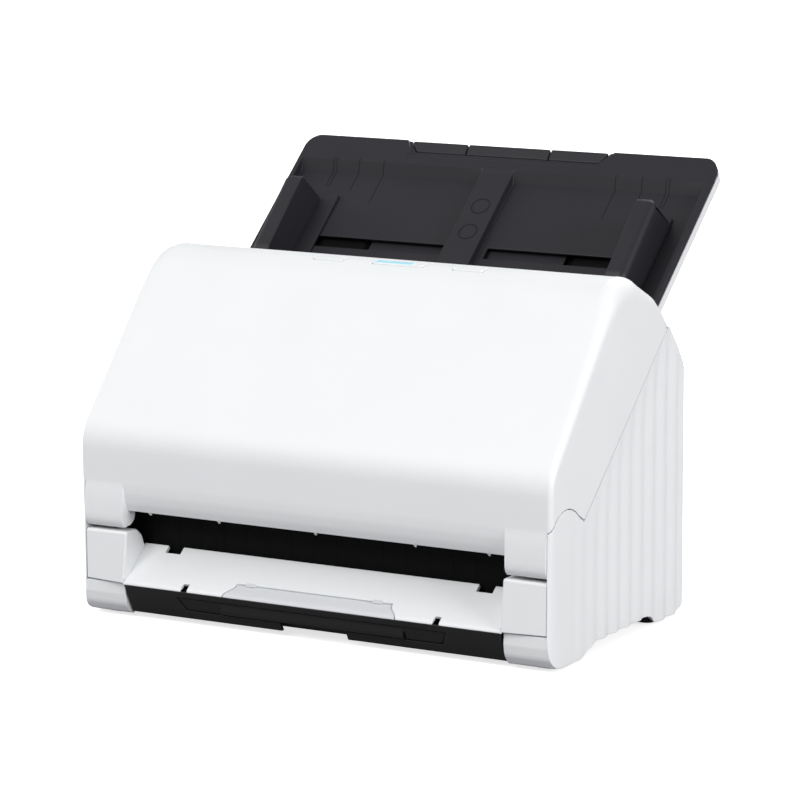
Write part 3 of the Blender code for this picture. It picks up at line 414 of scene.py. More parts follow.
def mottled(name, texture, scale, tones, roughness=None, gloss_range=None, metallic=1.0, placed=False):
    """Metal or glass whose colour, and gloss if a range is given, follow one fine texture.

    A placed texture keeps its scale in metres; another one is stretched to the piece.
    """
    material = bpy.data.materials.new(name)
    material.use_nodes = True
    tree = material.node_tree
    shader = tree.nodes["Principled BSDF"]
    kind, output, settings = texture
    if placed:
        settings = {"Vector": added(tree, "ShaderNodeTexCoord").outputs["Object"], **settings}
    spots = added(tree, kind, {"Scale": scale, **settings}).outputs[output]
    tone = added(tree, "ShaderNodeMix", {0: spots, 6: (*tones[0], 1), 7: (*tones[1], 1)}, data_type="RGBA")
    tree.links.new(tone.outputs[2], shader.inputs["Base Color"])
    shader.inputs["Metallic"].default_value = metallic
    if gloss_range:
        gloss = added(tree, "ShaderNodeMapRange", {
            "Value": spots, "To Min": gloss_range[0], "To Max": gloss_range[1],
        })
        tree.links.new(gloss.outputs["Result"], shader.inputs["Roughness"])
    else:
        shader.inputs["Roughness"].default_value = roughness
    return material, shader


BLACK_PAN = plastic("black_pan", (0.012, 0.0115, 0.012), 0.5, grain=(1100.0, 0.00003), gloss=0.35)
FOOT_RUBBER = plastic("foot_rubber", (0.05, 0.05, 0.052), 0.85, grain=(700.0, 0.00006), gloss=0.2, edge_sheen=0.0)


def flat_plate(outline, low, high, low_round, high_round, place):
    """Plate with a plan outline in x and y (or s), between two heights, edges rounded."""
    rings = stacked(outline, low, high, low_round, high_round)
    return skinned(place(rings[..., [1, 2, 0]]))


def bar(outline, ends, rounds, place, share=1.0, steps=4):
    """Bar along x with a side view outline, its two end edges rounded."""
    return skinned(place(stacked(outline, *ends, *rounds, share=share, steps=steps)))


def rectangle(x, y):
    return [(x[0], y[0]), (x[1], y[0]), (x[1], y[1]), (x[0], y[1])]


pan_plan = softened(rectangle((-137.4, 137.4), (10.4, 155.6)), 5.0)
pan = piece("base_pan_sheet", BLACK_PAN, flat_plate(pan_plan, 4.9, 7.2, 1.0, 0.6, on_desk))
fitted(pan, "root", "dark_frame", "base_pan")

for node in ("front_left_foot", "front_right_foot", "rear_left_foot", "rear_right_foot"):
    low, high = (np.array(corner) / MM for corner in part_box(node))
    low[1], high[1] = low[1] - FRONT_PLANE / MM, high[1] - FRONT_PLANE / MM
    pad_plan = softened(rectangle((low[0], high[0]), (low[1], high[1])), 4.5)
    pad = piece(node + "_pad", FOOT_RUBBER, flat_plate(pad_plan, low[2], high[2] + 1.6, 0.9, 0.3, on_desk))
    fitted(pad, "root", "grey_rubber", node)

# ---- Side casings --------------------------------------------------------------------
# Injection moulded ABS walls in warm white. Shallow upright flutes run down the rear two
# thirds and fade out towards the front, and the lower front corner turns in to the panel.

CASING_WHITE = plastic("casing_white", (0.82, 0.83, 0.84), 0.42, grain=(1500.0, 0.000015), dust=0.0)

HALF_WIDTH = 145.5
FLUTE_PITCH = 14.2


def open_line(corners, radii, steps=8):
    """A softened line that isn't closed, from its first corner to its last."""
    corners = np.asarray(corners, float)
    radii = np.concatenate(([0.001], np.asarray(radii, float), [0.001]))
    closed = softened(corners, radii, steps)
    first = np.argmin(np.linalg.norm(closed - corners[0], axis=1))
    closed = np.roll(closed, -first, 0)
    last = np.argmin(np.linalg.norm(closed - corners[-1], axis=1))
    return closed[:last + 1]


def resampled(line, count):
    """The line with points an equal distance apart."""
    steps = np.concatenate(([0], np.cumsum(np.linalg.norm(np.diff(line, axis=0), axis=1))))
    even = np.linspace(0, steps[-1], count)
    return np.column_stack([np.interp(even, steps, line[:, axis]) for axis in (0, 1)])


EAR_ANGLES = np.radians(np.linspace(150.7, 45.8, 24))
EAR_TOP = np.column_stack((17.3 + 18.8 * np.cos(EAR_ANGLES), 66.0 + 18.8 * np.sin(EAR_ANGLES)))
CASING_TOP = np.concatenate((
    [(0.0, 74.6)], EAR_TOP,
    open_line(
        [(37.5, 74.8), (138.2, 163.9), (149.2, 151.3), (157.9, 138.9), (159.8, 134.9)], [1.2, 14.0, 6.0]
    ),
))
CASING_BOTTOM = open_line(
    [(0.0, 14.0), (1.0, 8.0), (5.0, 3.0), (14.0, 1.7), (37.0, 1.7), (50.0, 7.3), (117.0, 7.3), (126.0, 1.7),
     (150.9, 1.7), (158.6, 5.6), (159.8, 14.0)],
    [6.0, 8.0, 10.0, 24.0, 24.0, 8.0, 8.0, 12.0, 8.0],
)


def side_wall(side):
    """Fluted side wall as a grid of columns back from the front edge and rows upwards.

    Its outer face is HALF_WIDTH less a cosine flute that fades in from the front and
    dies at the seam, less a quarter ellipse round the front and rear upright corners.
    """
    back = np.unique(np.concatenate((
        (0.0, 0.6, 1.3, 2.2, 3.3, 4.6, 6.2, 8.0, 10.0), np.linspace(12, 155, 160),
        (37.5, 138.2, 156.0, 157.0, 157.9, 158.6, 159.2, 159.8),
    )))
    up = np.linspace(0, 1, 60)
    top = np.interp(back, CASING_TOP[:, 0], CASING_TOP[:, 1])
    bottom = np.interp(back, CASING_BOTTOM[:, 0], CASING_BOTTOM[:, 1])
    z = bottom[:, None] + up[None, :] * (top - bottom)[:, None]
    y = back[:, None] + 0.4 * np.clip((z - 14) / 60, 0, 1) * np.clip(1 - back / 8, 0, 1)[:, None]
    fade = np.clip((back - 16) / 60, 0, 1)[:, None] * np.clip((top[:, None] - z) / 26, 0, 1) ** 0.5
    fade = fade * np.clip((157 - back) / 6, 0, 1)[:, None]
    flute = 0.8 * fade * (1 - np.cos(2 * math.pi * (back[:, None] - 5.0) / FLUTE_PITCH))
    front_reach = 4.0 + 7.0 * np.clip((75 - z) / 60, 0, 1)
    front = 2.5 * (1 - np.sqrt(1 - np.clip(1 - back[:, None] / front_reach, 0, 1) ** 2))
    rear = 2.3 * (1 - np.sqrt(1 - np.clip(1 - (159.8 - back[:, None]) / 4.5, 0, 1) ** 2))
    outside = HALF_WIDTH - flute - front - rear
    inside = np.minimum(143.0, outside - 0.5)
    outer = np.stack((side * outside, y, z), -1)
    inner = np.stack((side * inside, y, z), -1)
    return walled(on_desk(outer), on_desk(inner))


CORNER_SIDE = softened(
    [(9.0, 20.2), (0.25, 20.2), (0.0, 14.0), (1.0, 8.0), (5.0, 2.9), (9.0, 1.9)],
    [0.3, 0.5, 6.0, 8.0, 4.0, 0.5],
)
for node, side in (("left_side_casing", -1), ("right_side_casing", 1)):
    corner_ends = sorted((side * 117.2, side * 143.4))
    corner_rounds = (0.8, 0.1) if side > 0 else (0.1, 0.8)
    casing = piece(
        node + "_shell", CASING_WHITE, side_wall(side), bar(CORNER_SIDE, corner_ends, corner_rounds, on_desk),
        edge=0.35,
    )
    fitted(casing, "root", "white_casing", node)

# ---- Rear cover, sockets and board ---------------------------------------------------
# The back wall is one white moulding held by four screws, with cooling slots high up and
# two cut-outs low down, where the sockets soldered to the main board look through.

SOCKETS = (("power_inlet", 82.0, 12.0, 34.0, 11.0), ("usb_port", 58.0, 11.0, 34.0, 10.0))
VENT_Z = (100.0, 124.0)
VENTS = [(-96.0 + 8.0 * step, 3.0) for step in range(25)]


def kept(first, second, openings):
    """Cells of a grid whose middle lies in none of the openings, each (first from, to, second from, to)."""
    middle_first = (np.asarray(first)[:-1] + np.asarray(first)[1:]) / 2
    middle_second = (np.asarray(second)[:-1] + np.asarray(second)[1:]) / 2
    keep = np.ones((len(middle_first), len(middle_second)), bool)
    for low_first, high_first, low_second, high_second in openings:
        inside = (middle_first > low_first) & (middle_first < high_first)
        keep &= ~(inside[:, None] & (middle_second > low_second) & (middle_second < high_second)[None, :])
    return keep


def breaks(low, high, step, *edges):
    """Grid lines from low to high, about a step apart, with every edge among them."""
    fixed = sorted({low, high, *[edge for edge in edges if low < edge < high]})
    parts = [
        np.linspace(start, end, max(1, round((end - start) / step)) + 1)[:-1]
        for start, end in zip(fixed[:-1], fixed[1:])
    ]
    return np.concatenate((*parts, [high]))


def rear_sheet():
    """Bent back wall: its side view carried across, with the sockets and slots left open."""
    line = open_line([(159.8, 6.6), (159.8, 134.9), (149.2, 151.3), (146.2, 154.8)], [14.0, 30.0])
    edges = [z + side * (height / 2 + 0.5) for _, _, _, z, height in SOCKETS for side in (-1, 1)]
    rows = breaks(6.6, 154.8, 2.5, *edges, *VENT_Z)
    y = np.interp(rows, line[:, 1], line[:, 0])
    slope = np.gradient(y, rows)
    lean = np.sqrt(1 + slope ** 2)
    x_edges = [x + side * (width / 2 + 0.5) for _, x, width, _, _ in SOCKETS for side in (-1, 1)]
    x_edges += [x + side * width / 2 for x, width in VENTS for side in (-1, 1)]
    columns = breaks(-142.6, 142.6, 8.0, *x_edges)
    openings = [
        (z - height / 2 - 0.5, z + height / 2 + 0.5, x - width / 2 - 0.5, x + width / 2 + 0.5)
        for _, x, width, z, height in SOCKETS
    ]
    openings += [(*VENT_Z, x - width / 2, x + width / 2) for x, width in VENTS]
    turn = 1.8 * (1 - np.sqrt(1 - np.clip(1 - (142.6 - np.abs(columns)) / 3.0, 0, 1) ** 2))
    outer = np.stack(np.broadcast_arrays(columns[None], y[:, None] - turn[None], rows[:, None]), -1)
    inner_y = y - 2.4 / lean
    inner_z = rows + 2.4 * slope / lean
    inner = np.stack(np.broadcast_arrays(columns[None], inner_y[:, None], inner_z[:, None]), -1)
    return walled(on_desk(outer), on_desk(inner), kept(rows, columns, openings))


rear = piece("rear_cover_sheet", CASING_WHITE, rear_sheet(), edge=0.35)
fitted(rear, "root", "white_casing", "rear_cover")

SCREW_STEEL, _ = mottled(
    "zinc_screw", ("ShaderNodeTexNoise", "Fac", {"Detail": 3.0}), 1200.0,
    ((0.42, 0.43, 0.44), (0.68, 0.69, 0.70)), gloss_range=(0.22, 0.42),
)


def round_ring(radius, count=48):
    angles = np.linspace(0, 2 * math.pi, count, endpoint=False)
    return np.column_stack((radius * np.cos(angles), radius * np.sin(angles)))


def cross_ring(arm, width, count=48):
    """Plus-shaped ring: at each angle, the nearer of the two crossed bars' edges."""
    angles = np.linspace(0, 2 * math.pi, count, endpoint=False)
    cosine, sine = np.abs(np.cos(angles)), np.abs(np.sin(angles))
    tiny = 1e-6
    flat_bar = np.minimum(arm / np.maximum(cosine, tiny), width / np.maximum(sine, tiny))
    tall_bar = np.minimum(width / np.maximum(cosine, tiny), arm / np.maximum(sine, tiny))
    reach_out = np.maximum(flat_bar, tall_bar)
    return np.column_stack((reach_out * np.cos(angles), reach_out * np.sin(angles)))


def screw_head(x, z, y):
    """Pan head with a cross recess, its axis along y: rings from the wall out and into the cross."""
    levels = (
        (0.0, round_ring(3.0)), (0.5, round_ring(3.0)), (0.5 + 0.35, round_ring(2.8)), (1.0, round_ring(2.2)),
        (1.0, cross_ring(1.6, 0.42)), (0.2, cross_ring(1.1, 0.3)),
    )
    rings = np.stack([
        np.column_stack((x + ring[:, 0], np.full(len(ring), y + depth), z + ring[:, 1]))
        for depth, ring in levels
    ])
    return skinned(on_desk(rings))


screws = piece(
    "rear_cover_screws", SCREW_STEEL,
    *[screw_head(x, z, 158.7) for x in (-128.0, 128.0) for z in (18.0, 118.0)], crease=30,
)
fitted(screws, "root", "steel")

SOCKET_BLACK = plastic("socket_black", (0.012, 0.012, 0.013), 0.38, grain=(2200.0, 0.00001), gloss=0.5)
CONTACT_BRASS, _ = mottled(
    "plated_contact", ("ShaderNodeTexNoise", "Fac", {"Detail": 2.0}), 800.0,
    ((0.55, 0.53, 0.48), (0.78, 0.76, 0.70)), roughness=0.25,
)


def spread(outline, count=48):
    """The outline cut by rays from its middle at equal angles, so that rings of one count match."""
    outline = np.asarray(outline, float)
    closed = np.concatenate((outline, outline[:1])) - (outline.min(0) + outline.max(0)) / 2
    line = resampled(closed, 600)
    wanted = np.linspace(0, 2 * math.pi, count, endpoint=False)
    turned = np.arctan2(line[:, 1], line[:, 0])
    reach_out = np.interp(wanted, turned, np.linalg.norm(line, axis=1), period=2 * math.pi)
    return np.column_stack((reach_out * np.cos(wanted), reach_out * np.sin(wanted)))


def socket_shell(x, width, z, height, mouth, y_back, y_face, depth):
    """A block with a shaped well: rings up its outside, across its face and down the well."""
    outside = spread(softened(rectangle((-width / 2, width / 2), (-height / 2, height / 2)), 0.8))
    mouth = spread(mouth)
    levels = ((y_back, outside), (y_face - 0.3, outside), (y_face, outside * 0.96), (y_face, mouth * 1.06),
              (y_face - 0.4, mouth), (y_face - depth, mouth))
    rings = np.stack([
        np.column_stack((x + ring[:, 0], np.full(len(ring), y), z + ring[:, 1])) for y, ring in levels
    ])
    return skinned(on_desk(rings))


barrel = socket_shell(82.0, 11.8, 34.0, 10.8, round_ring(3.6), 149.9, 159.2, 7.0)
power_socket = piece("power_socket_shell", SOCKET_BLACK, barrel, crease=30)
fitted(power_socket, "root", "dark_frame", "power_inlet")
pin_levels = ((152.2, 0.9), (157.6, 0.9), (158.2, 0.45))
pin_rings = np.stack([
    np.insert(round_ring(radius, 20) + (82.0, 34.0), 1, y, axis=1)
    for y, radius in pin_levels
])
pin = piece("power_socket_pin", CONTACT_BRASS, skinned(on_desk(pin_rings)))
fitted(pin, "root", "steel")

usb_mouth = softened([(-4.0, -3.7), (4.0, -3.7), (4.0, 1.9), (2.6, 3.7), (-2.6, 3.7), (-4.0, 1.9)], 0.3)
usb_shell = piece(
    "usb_port_shell", SOCKET_BLACK, socket_shell(58.0, 10.8, 34.0, 9.8, usb_mouth, 149.9, 159.2, 6.9),
    crease=30,
)
fitted(usb_shell, "root", "dark_frame", "usb_port")
tongue_plan = softened(rectangle((-2.6, 2.6), (-1.4, 1.4)), 0.4)
tongue_rings = stacked(tongue_plan, 152.0, 158.0, 0.1, 0.3)[..., [1, 0, 2]] + (58.0, 0, 33.6)
tongue = piece("usb_port_tongue", CONTACT_BRASS, skinned(on_desk(tongue_rings)))
fitted(tongue, "root", "steel")

board_finish = bpy.data.materials.new("solder_masked_board")
board_finish.use_nodes = True
board_tree = board_finish.node_tree
board_shader = board_tree.nodes["Principled BSDF"]
board_place = added(board_tree, "ShaderNodeTexCoord").outputs["Object"]
tracks = added(board_tree, "ShaderNodeTexBrick", {
    "Vector": board_place, "Scale": 90.0, "Color1": (0.02, 0.12, 0.05, 1), "Color2": (0.015, 0.09, 0.04, 1),
    "Mortar": (0.05, 0.22, 0.09, 1), "Mortar Size": 0.03,
})
board_tree.links.new(tracks.outputs["Color"], board_shader.inputs["Base Color"])
board_shader.inputs["Roughness"].default_value = 0.35
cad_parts["main_board"].data.materials.clear()
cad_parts["main_board"].data.materials.append(board_finish)

# A black sheet over the board that keeps the vents' light off the interior: it stands in for the shade in
# there.
vent_shade_sheet = piece(
    "vent_shade_sheet", SOCKET_BLACK,
    flat_plate(softened(rectangle((-104.0, 104.0), (148.2, 149.4)), 0.3), 112.6, 131.0, 0.2, 0.2, on_desk),
)
fitted(vent_shade_sheet, "root", "dark_frame")

# ---- Front panel and stacking drawers ------------------------------------------------
# A black ABS panel leans back under the eject tray. Its mouth takes two drawers that pull
# forward to catch long sheets, the narrow one inside the wide one's face.

PANEL_BLACK = plastic("panel_black", (0.0135, 0.0125, 0.0135), 0.46, grain=(1300.0, 0.00003), gloss=0.35)


def pinched(x, towards_middle, knots, weights):
    """Columns x moved towards the middle by an amount that varies with the distance out."""
    share = np.interp(np.abs(x), knots, weights)
    return np.sign(x) * (np.abs(x) - towards_middle * share)


def base_panel():
    """Leaning sheet between two side view lines, its mouth narrower at the foot than the head."""
    rows = breaks(3.6, 20.2, 1.6, 8.6, 9.0, 16.5)
    columns = breaks(-116.4, 116.4, 6.0, -83.8, 83.8, -20.5, 20.5)
    front_y = np.interp(rows, (3.6, 10.0, 20.2), (6.0, 2.5, -2.9))
    back_y = np.interp(rows, (3.6, 10.8, 20.2), (8.3, 4.6, -0.3))
    narrowing = 4.2 * np.clip((16.5 - rows) / 7.9, 0, 1)
    x = pinched(columns[None], narrowing[:, None], (30.0, 60.0, 83.8, 116.4), (0, 0.6, 1, 0))
    outer = np.stack(np.broadcast_arrays(x, front_y[:, None], rows[:, None]), -1)
    inner = np.stack(np.broadcast_arrays(x, back_y[:, None], rows[:, None]), -1)
    keep = kept(rows, columns, [(8.6, 16.5, -83.8, 83.8), (0, 9.0, -20.5, 20.5)])
    return walled(on_desk(outer), on_desk(inner), keep)


panel = piece("front_base_panel_sheet", PANEL_BLACK, base_panel(), edge=0.3)
fitted(panel, "root", "dark_frame", "front_base_panel")


def wide_drawer_face():
    """Leaning face with slanted ends, open in the middle for the narrow drawer."""
    rows = breaks(9.1, 16.1, 1.4, 13.1)
    columns = breaks(-83.3, 83.3, 6.0, -57.6, 57.6)
    narrowing = 4.2 * (16.1 - rows) / 7.0
    x = pinched(columns[None], narrowing[:, None], (57.6, 83.3), (0, 1))
    front_y = np.interp(rows, (9.1, 16.1), (3.5, -0.1))
    outer = np.stack(np.broadcast_arrays(x, front_y[:, None], rows[:, None]), -1)
    inner = np.stack(np.broadcast_arrays(x, 10.5, rows[:, None]), -1)
    return walled(on_desk(outer), on_desk(inner), kept(rows, columns, [(9.1, 13.1, -57.6, 57.6)]))


def drawer_plate(half, y, z):
    return flat_plate(softened(rectangle((-half, half), y), 2.5), *z, 0.4, 0.4, on_desk)


wide_drawer = piece(
    "wide_stacking_drawer", PANEL_BLACK, wide_drawer_face(), drawer_plate(80.0, (10.0, 144.0), (13.4, 15.6)),
    edge=0.3,
)
fitted(wide_drawer, "eject_stage_one", "dark_frame", "eject_extension_outer")

GRIP_SIDE = softened(
    [(0.3, 15.9), (1.0, 11.0), (1.7, 9.3), (4.0, 8.9), (7.0, 8.9), (7.0, 12.6), (3.4, 12.8), (3.0, 15.9)],
    [0.6, 6.0, 1.5, 2.0, 0.3, 0.3, 0.6, 0.6],
)
narrow_drawer = piece(
    "narrow_stacking_drawer", PANEL_BLACK, bar(GRIP_SIDE, (-56.8, 56.8), (0.4, 0.4), on_desk),
    drawer_plate(56.0, (6.6, 138.0), (10.4, 12.6)),
)
fitted(narrow_drawer, "eject_stage_two", "dark_frame", "eject_extension_inner")

# ---- Eject tray and stopper flap -----------------------------------------------------
# One white moulding: a floor that slopes down to a rounded lip between two tall corner
# blocks. A small flap lies in a recess at the lip and swings up to square the sheets.

FLOOR_FRONT = np.array((-2.4, 21.4))
FLOOR_BACK = np.array((21.0, 39.2))
FLOOR_LENGTH = np.linalg.norm(FLOOR_BACK - FLOOR_FRONT)
FLOOR_UP = (FLOOR_BACK - FLOOR_FRONT) / FLOOR_LENGTH
FLOOR_OFF = np.array((-FLOOR_UP[1], FLOOR_UP[0]))


def on_floor(points):
    """Points x, distance up the eject floor from its lip and distance off it, in metres."""
    points = np.asarray(points, float)
    yz = FLOOR_FRONT + points[..., 1:2] * FLOOR_UP + points[..., 2:3] * FLOOR_OFF
    return on_desk(np.concatenate((points[..., :1], yz), -1))


def eased(value):
    """Smooth step from 0 to 1."""
    value = np.clip(value, 0, 1)
    return value * value * (3 - 2 * value)


def floor_grid(x_half, up, off):
    """x, up, off grid whose columns bend inwards beside the flap like the recess's S shaped ends."""
    columns = breaks(-x_half, x_half, 4.0, *[side * edge for side in (-1, 1)
                                              for edge in (54.0, 76.2, 80.2, 92.3, 101.9)])
    bend = 5.2 * eased(up / 8.0) * eased((26.0 - up) / 12.0)
    x = pinched(columns[None], bend[:, None], (20.0, 54.0, 74.0), (0, 1, 0))
    return columns, np.stack(np.broadcast_arrays(x, up[:, None], off[:, None]), -1)


up_rows = breaks(-0.6, FLOOR_LENGTH, 1.4, 0.6, 4.5, 9.3, 24.3)
floor_columns, floor_top = floor_grid(117.6, up_rows, -0.9 * np.clip(-up_rows / 0.6, 0, 1) ** 2)
under = np.interp(up_rows, (-0.6, 3.0, FLOOR_LENGTH), (-1.2, -2.2, -2.4))
floor_under = floor_grid(117.6, up_rows, under)[1]
floor_openings = [(-1, 9.3, -54.0, 54.0), (-1, 4.5, 76.2, 80.2), (-1, 4.5, -80.2, -76.2),
                  (24.3, 40, 92.3, 101.9), (24.3, 40, -101.9, -92.3)]
floor_sheet = walled(on_floor(floor_top), on_floor(floor_under), kept(up_rows, floor_columns, floor_openings))
recess_rows = breaks(-0.4, 10.5, 1.2)
recess_columns, recess_top = floor_grid(56.0, recess_rows, np.full(len(recess_rows), -1.55))
recess_under = floor_grid(56.0, recess_rows, np.full(len(recess_rows), -2.1))[1]
recess_floor = walled(on_floor(recess_top), on_floor(recess_under))


def corner_block(side):
    """Tall hollow block beside the floor; its face leans forward towards the floor's lip."""
    outline = softened(
        [(0.2, 20.9), (0.2, 48.9), (11.6, 48.9), (16.6, 45.0), (20.4, 36.5), (20.4, 20.9)],
        [0.6, 1.6, 3.5, 6.0, 4.0, 0.5],
    )
    ends = sorted((side * 116.6, side * 142.5))
    rounds = (1.2, 0.5) if side > 0 else (0.5, 1.2)
    rings = stacked(outline, *ends, *rounds)
    x, y, z = rings[..., 0], rings[..., 1], rings[..., 2]
    lean = (142.5 - np.abs(x)) / 25.9 * np.interp(z, (21.0, 48.9), (3.4, -1.0)) * np.clip((4 - y) / 4, 0, 1)
    return skinned(on_desk(np.stack((x, y - lean, z), -1)))


tray_shell = piece(
    "eject_tray_moulding", CASING_WHITE, floor_sheet, recess_floor, corner_block(-1), corner_block(1),
    edge=0.4,
)
fitted(tray_shell, "root", "white_casing", "eject_tray")

flap_rows = breaks(-0.5, 8.9, 1.0)
flap_fall = np.interp(flap_rows, (-0.5, 0.3, 1.2, 8.9), (-1.2, -0.6, -0.3, -0.95))
flap_columns, flap_top = floor_grid(53.3, flap_rows, flap_fall)
flap_under = floor_grid(53.3, flap_rows, np.full(len(flap_rows), -1.45))[1]
nub_plan = softened(rectangle((-3.2, 3.2), (8.0, 10.4)), 1.0)
nubs = [
    skinned(on_floor(stacked(nub_plan + (x, 0), -1.2, 0.25, 0.1, 0.5)[..., [1, 2, 0]])) for x in (-39.3, 39.3)
]
# The flap's white is darker than the casing's: painted shade, so the flap reads darker than the floor round
# it.
FLAP_SHADED_WHITE = plastic("flap_white_painted_shade", (0.66, 0.67, 0.69), 0.45, grain=(1500.0, 0.000015), dust=0.0)
flap_strip = walled(on_floor(flap_top), on_floor(flap_under))
flap = piece("stopper_flap_strip", FLAP_SHADED_WHITE, flap_strip, *nubs, edge=0.3)
fitted(flap, "stopper", "white_casing", "stopper_flap")

# ---- Paper path in the base ----------------------------------------------------------
# Pressed steel side plates carry the shafts. Between them lies a black guide sheet with
# fine ribs, cut out for the tyres and for the glass of the lower image sensor.

PATH_ANGLE = math.radians(40.0)
PATH_TOP_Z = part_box("feed_tray")[1].z / MM
PATH_TOP_Y = (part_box("feed_tray")[1].y - FRONT_PLANE) / MM - 4.2 * math.sin(PATH_ANGLE)


def path_yz(s, h):
    """Desk frame y and z of the path frame's s and h."""
    return (
        PATH_TOP_Y + s * math.cos(PATH_ANGLE) - h * math.sin(PATH_ANGLE),
        PATH_TOP_Z + s * math.sin(PATH_ANGLE) + h * math.cos(PATH_ANGLE),
    )


def on_path(points):
    """Points x, s, h of the path frame in metres."""
    points = np.asarray(points, float)
    y, z = path_yz(points[..., 1], points[..., 2])
    return on_desk(np.stack((points[..., 0], y, z), -1))


# Blacker than any plastic: partly the sheets' own black, partly painted shade for the deep throat and paper
# path.
INNER_SHADE_BLACK = plastic(
    "inner_black_painted_shade", (0.0022, 0.0022, 0.0024), 0.6, grain=(1000.0, 0.00004), gloss=0.12, edge_sheen=0.0, dust=0.0
)
TYRES = (-96.0, -36.0, 36.0, 96.0)


def beside(line, distance):
    """The open line moved to its right by the distance, along the mitre at each point."""
    ahead = np.diff(line, axis=0)
    ahead /= np.linalg.norm(ahead, axis=1)[:, None]
    right = np.column_stack((ahead[:, 1], -ahead[:, 0]))
    first = np.concatenate((right[:1], right))
    second = np.concatenate((right, right[-1:]))
    mitre = first + second
    mitre /= np.maximum((mitre * first).sum(1), 0.3)[:, None]
    return line + distance * mitre


def bent_sheet(line, thickness, half, openings, rib_pitch=0.0, rib_height=0.0):
    """Sheet whose side view is the line: rows by length along it and columns across.

    Ribs are narrow columns where the face stands up, or lies lower, by the rib height.
    """
    length = np.concatenate(([0], np.cumsum(np.linalg.norm(np.diff(line, axis=0), axis=1))))
    rows = breaks(0, length[-1], 7.0, *[edge for opening in openings for edge in opening[:2]], *length[1:-1])
    rows = rows[np.concatenate(([True], np.diff(rows) > 0.05))]
    edges = [edge for opening in openings for edge in opening[2:]]
    ribs = np.arange(-half + 9, half - 8, rib_pitch) if rib_pitch else np.array([])
    edges += [rib + shift for rib in ribs for shift in (-0.9, -0.4, 0.4, 0.9)]
    columns = breaks(-half, half, 12.0, *edges)
    columns = columns[np.concatenate(([True], np.diff(columns) > 0.05))]
    nearest = np.abs(columns[:, None] - ribs[None]).min(1) if rib_pitch else np.full(len(columns), 9.0)
    rise = rib_height * (nearest < 0.6)
    face = np.column_stack([np.interp(rows, length, line[:, axis]) for axis in (0, 1)])
    off = face - beside(face, 1.0)
    back = beside(face, thickness)
    outer_yz = face[:, None] + off[:, None] * rise[None, :, None]
    outer_x = np.broadcast_to(columns[None, :, None], (len(rows), len(columns), 1))
    outer = np.concatenate((outer_x, outer_yz), -1)
    inner = np.stack(np.broadcast_arrays(columns[None], back[:, :1], back[:, 1:]), -1)
    return walled(on_desk(outer), on_desk(inner), kept(rows, columns, openings))


def tyre_windows(s, reach_s):
    return [(s - reach_s, s + reach_s, x - 8.0, x + 8.0) for x in TYRES]


base_line = open_line(
    [path_yz(-129.0, -5.0), path_yz(-268.0, -5.0), (24.6, 64.5), (23.5, 59.0), (23.5, 33.2)], [0.4, 3.0, 12.0]
)[::-1]
base_length = np.linalg.norm(np.diff(base_line, axis=0), axis=1).sum()
base_windows = [
    (base_length - (-129.0 - low), base_length - (-129.0 - high), x_low, x_high)
    for low, high, x_low, x_high in [
        (-229.0, -201.0, -113.0, 113.0), (-160.5, -143.5, -21.0, 21.0),
        *tyre_windows(-186.0, 7.0), *tyre_windows(-262.0, 6.2),
    ]
]
lower_guide = piece(
    "lower_guide_sheet", INNER_SHADE_BLACK,
    bent_sheet(base_line, 2.0, 133.7, base_windows, rib_pitch=14.3, rib_height=-0.35),
)
fitted(lower_guide, "root", "dark_frame", "lower_paper_guide")

PLATE_STEEL, _ = mottled(
    "galvanised_plate", ("ShaderNodeTexVoronoi", "Distance", {}), 260.0,
    ((0.40, 0.41, 0.42), (0.56, 0.57, 0.58)), gloss_range=(0.32, 0.5), placed=True,
)
GEAR_NYLON = plastic("gear_nylon", (0.70, 0.67, 0.58), 0.38, grain=(900.0, 0.00002), cloudiness=0.06)
SENSOR_BLACK = plastic("sensor_black", (0.008, 0.008, 0.009), 0.35, grain=(1800.0, 0.00001))
GLASS_CLEAR, glass_shader = mottled(
    "sensor_glass", ("ShaderNodeTexNoise", "Fac", {"Detail": 3.0}), 60.0,
    ((0.030, 0.045, 0.043), (0.045, 0.062, 0.060)), roughness=0.04, metallic=0.0,
)
glass_shader.inputs["Coat Weight"].default_value = 0.6
glass_shader.inputs["Coat Roughness"].default_value = 0.02

CAD_FINISHES = {
    PLATE_STEEL: ("left_side_plate", "right_side_plate", "drive_motor", "motor_pinion"),
    GEAR_NYLON: ("feed_gear", "register_gear", "eject_gear", "feed_idler_gear", "register_idler_gear",
                 "centre_idler_gear", "eject_idler_gear", "guide_pinion"),
    SENSOR_BLACK: ("lower_scan_unit", "upper_scan_unit"),
    GLASS_CLEAR: ("lower_scan_glass", "upper_scan_glass"),
}
for finish, nodes in CAD_FINISHES.items():
    for node in nodes:
        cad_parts[node].data.materials.clear()
        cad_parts[node].data.materials.append(finish)

# ---- Rollers and shafts --------------------------------------------------------------
# Ground steel shafts with moulded rubber tyres drive the sheets; the cover carries loose
# rollers of black resin that press on them, and a ribbed separation roller of soft rubber.

GROUND_STEEL = bpy.data.materials.new("ground_steel")
GROUND_STEEL.use_nodes = True
ground_tree = GROUND_STEEL.node_tree
ground_shader = ground_tree.nodes["Principled BSDF"]
ground_shader.inputs["Metallic"].default_value = 1.0
ground_shader.inputs["Base Color"].default_value = (0.62, 0.62, 0.63, 1)
ground_place = added(ground_tree, "ShaderNodeTexCoord").outputs["Object"]
turning = added(ground_tree, "ShaderNodeMapping", {"Vector": ground_place, "Scale": (3000.0, 30.0, 30.0)})
turning_lines = added(ground_tree, "ShaderNodeTexNoise", {"Vector": turning.outputs["Vector"], "Detail": 2.0})
ground_gloss = added(ground_tree, "ShaderNodeMapRange", {
    "Value": turning_lines.outputs["Fac"], "To Min": 0.15, "To Max": 0.35,
})
ground_tree.links.new(ground_gloss.outputs["Result"], ground_shader.inputs["Roughness"])

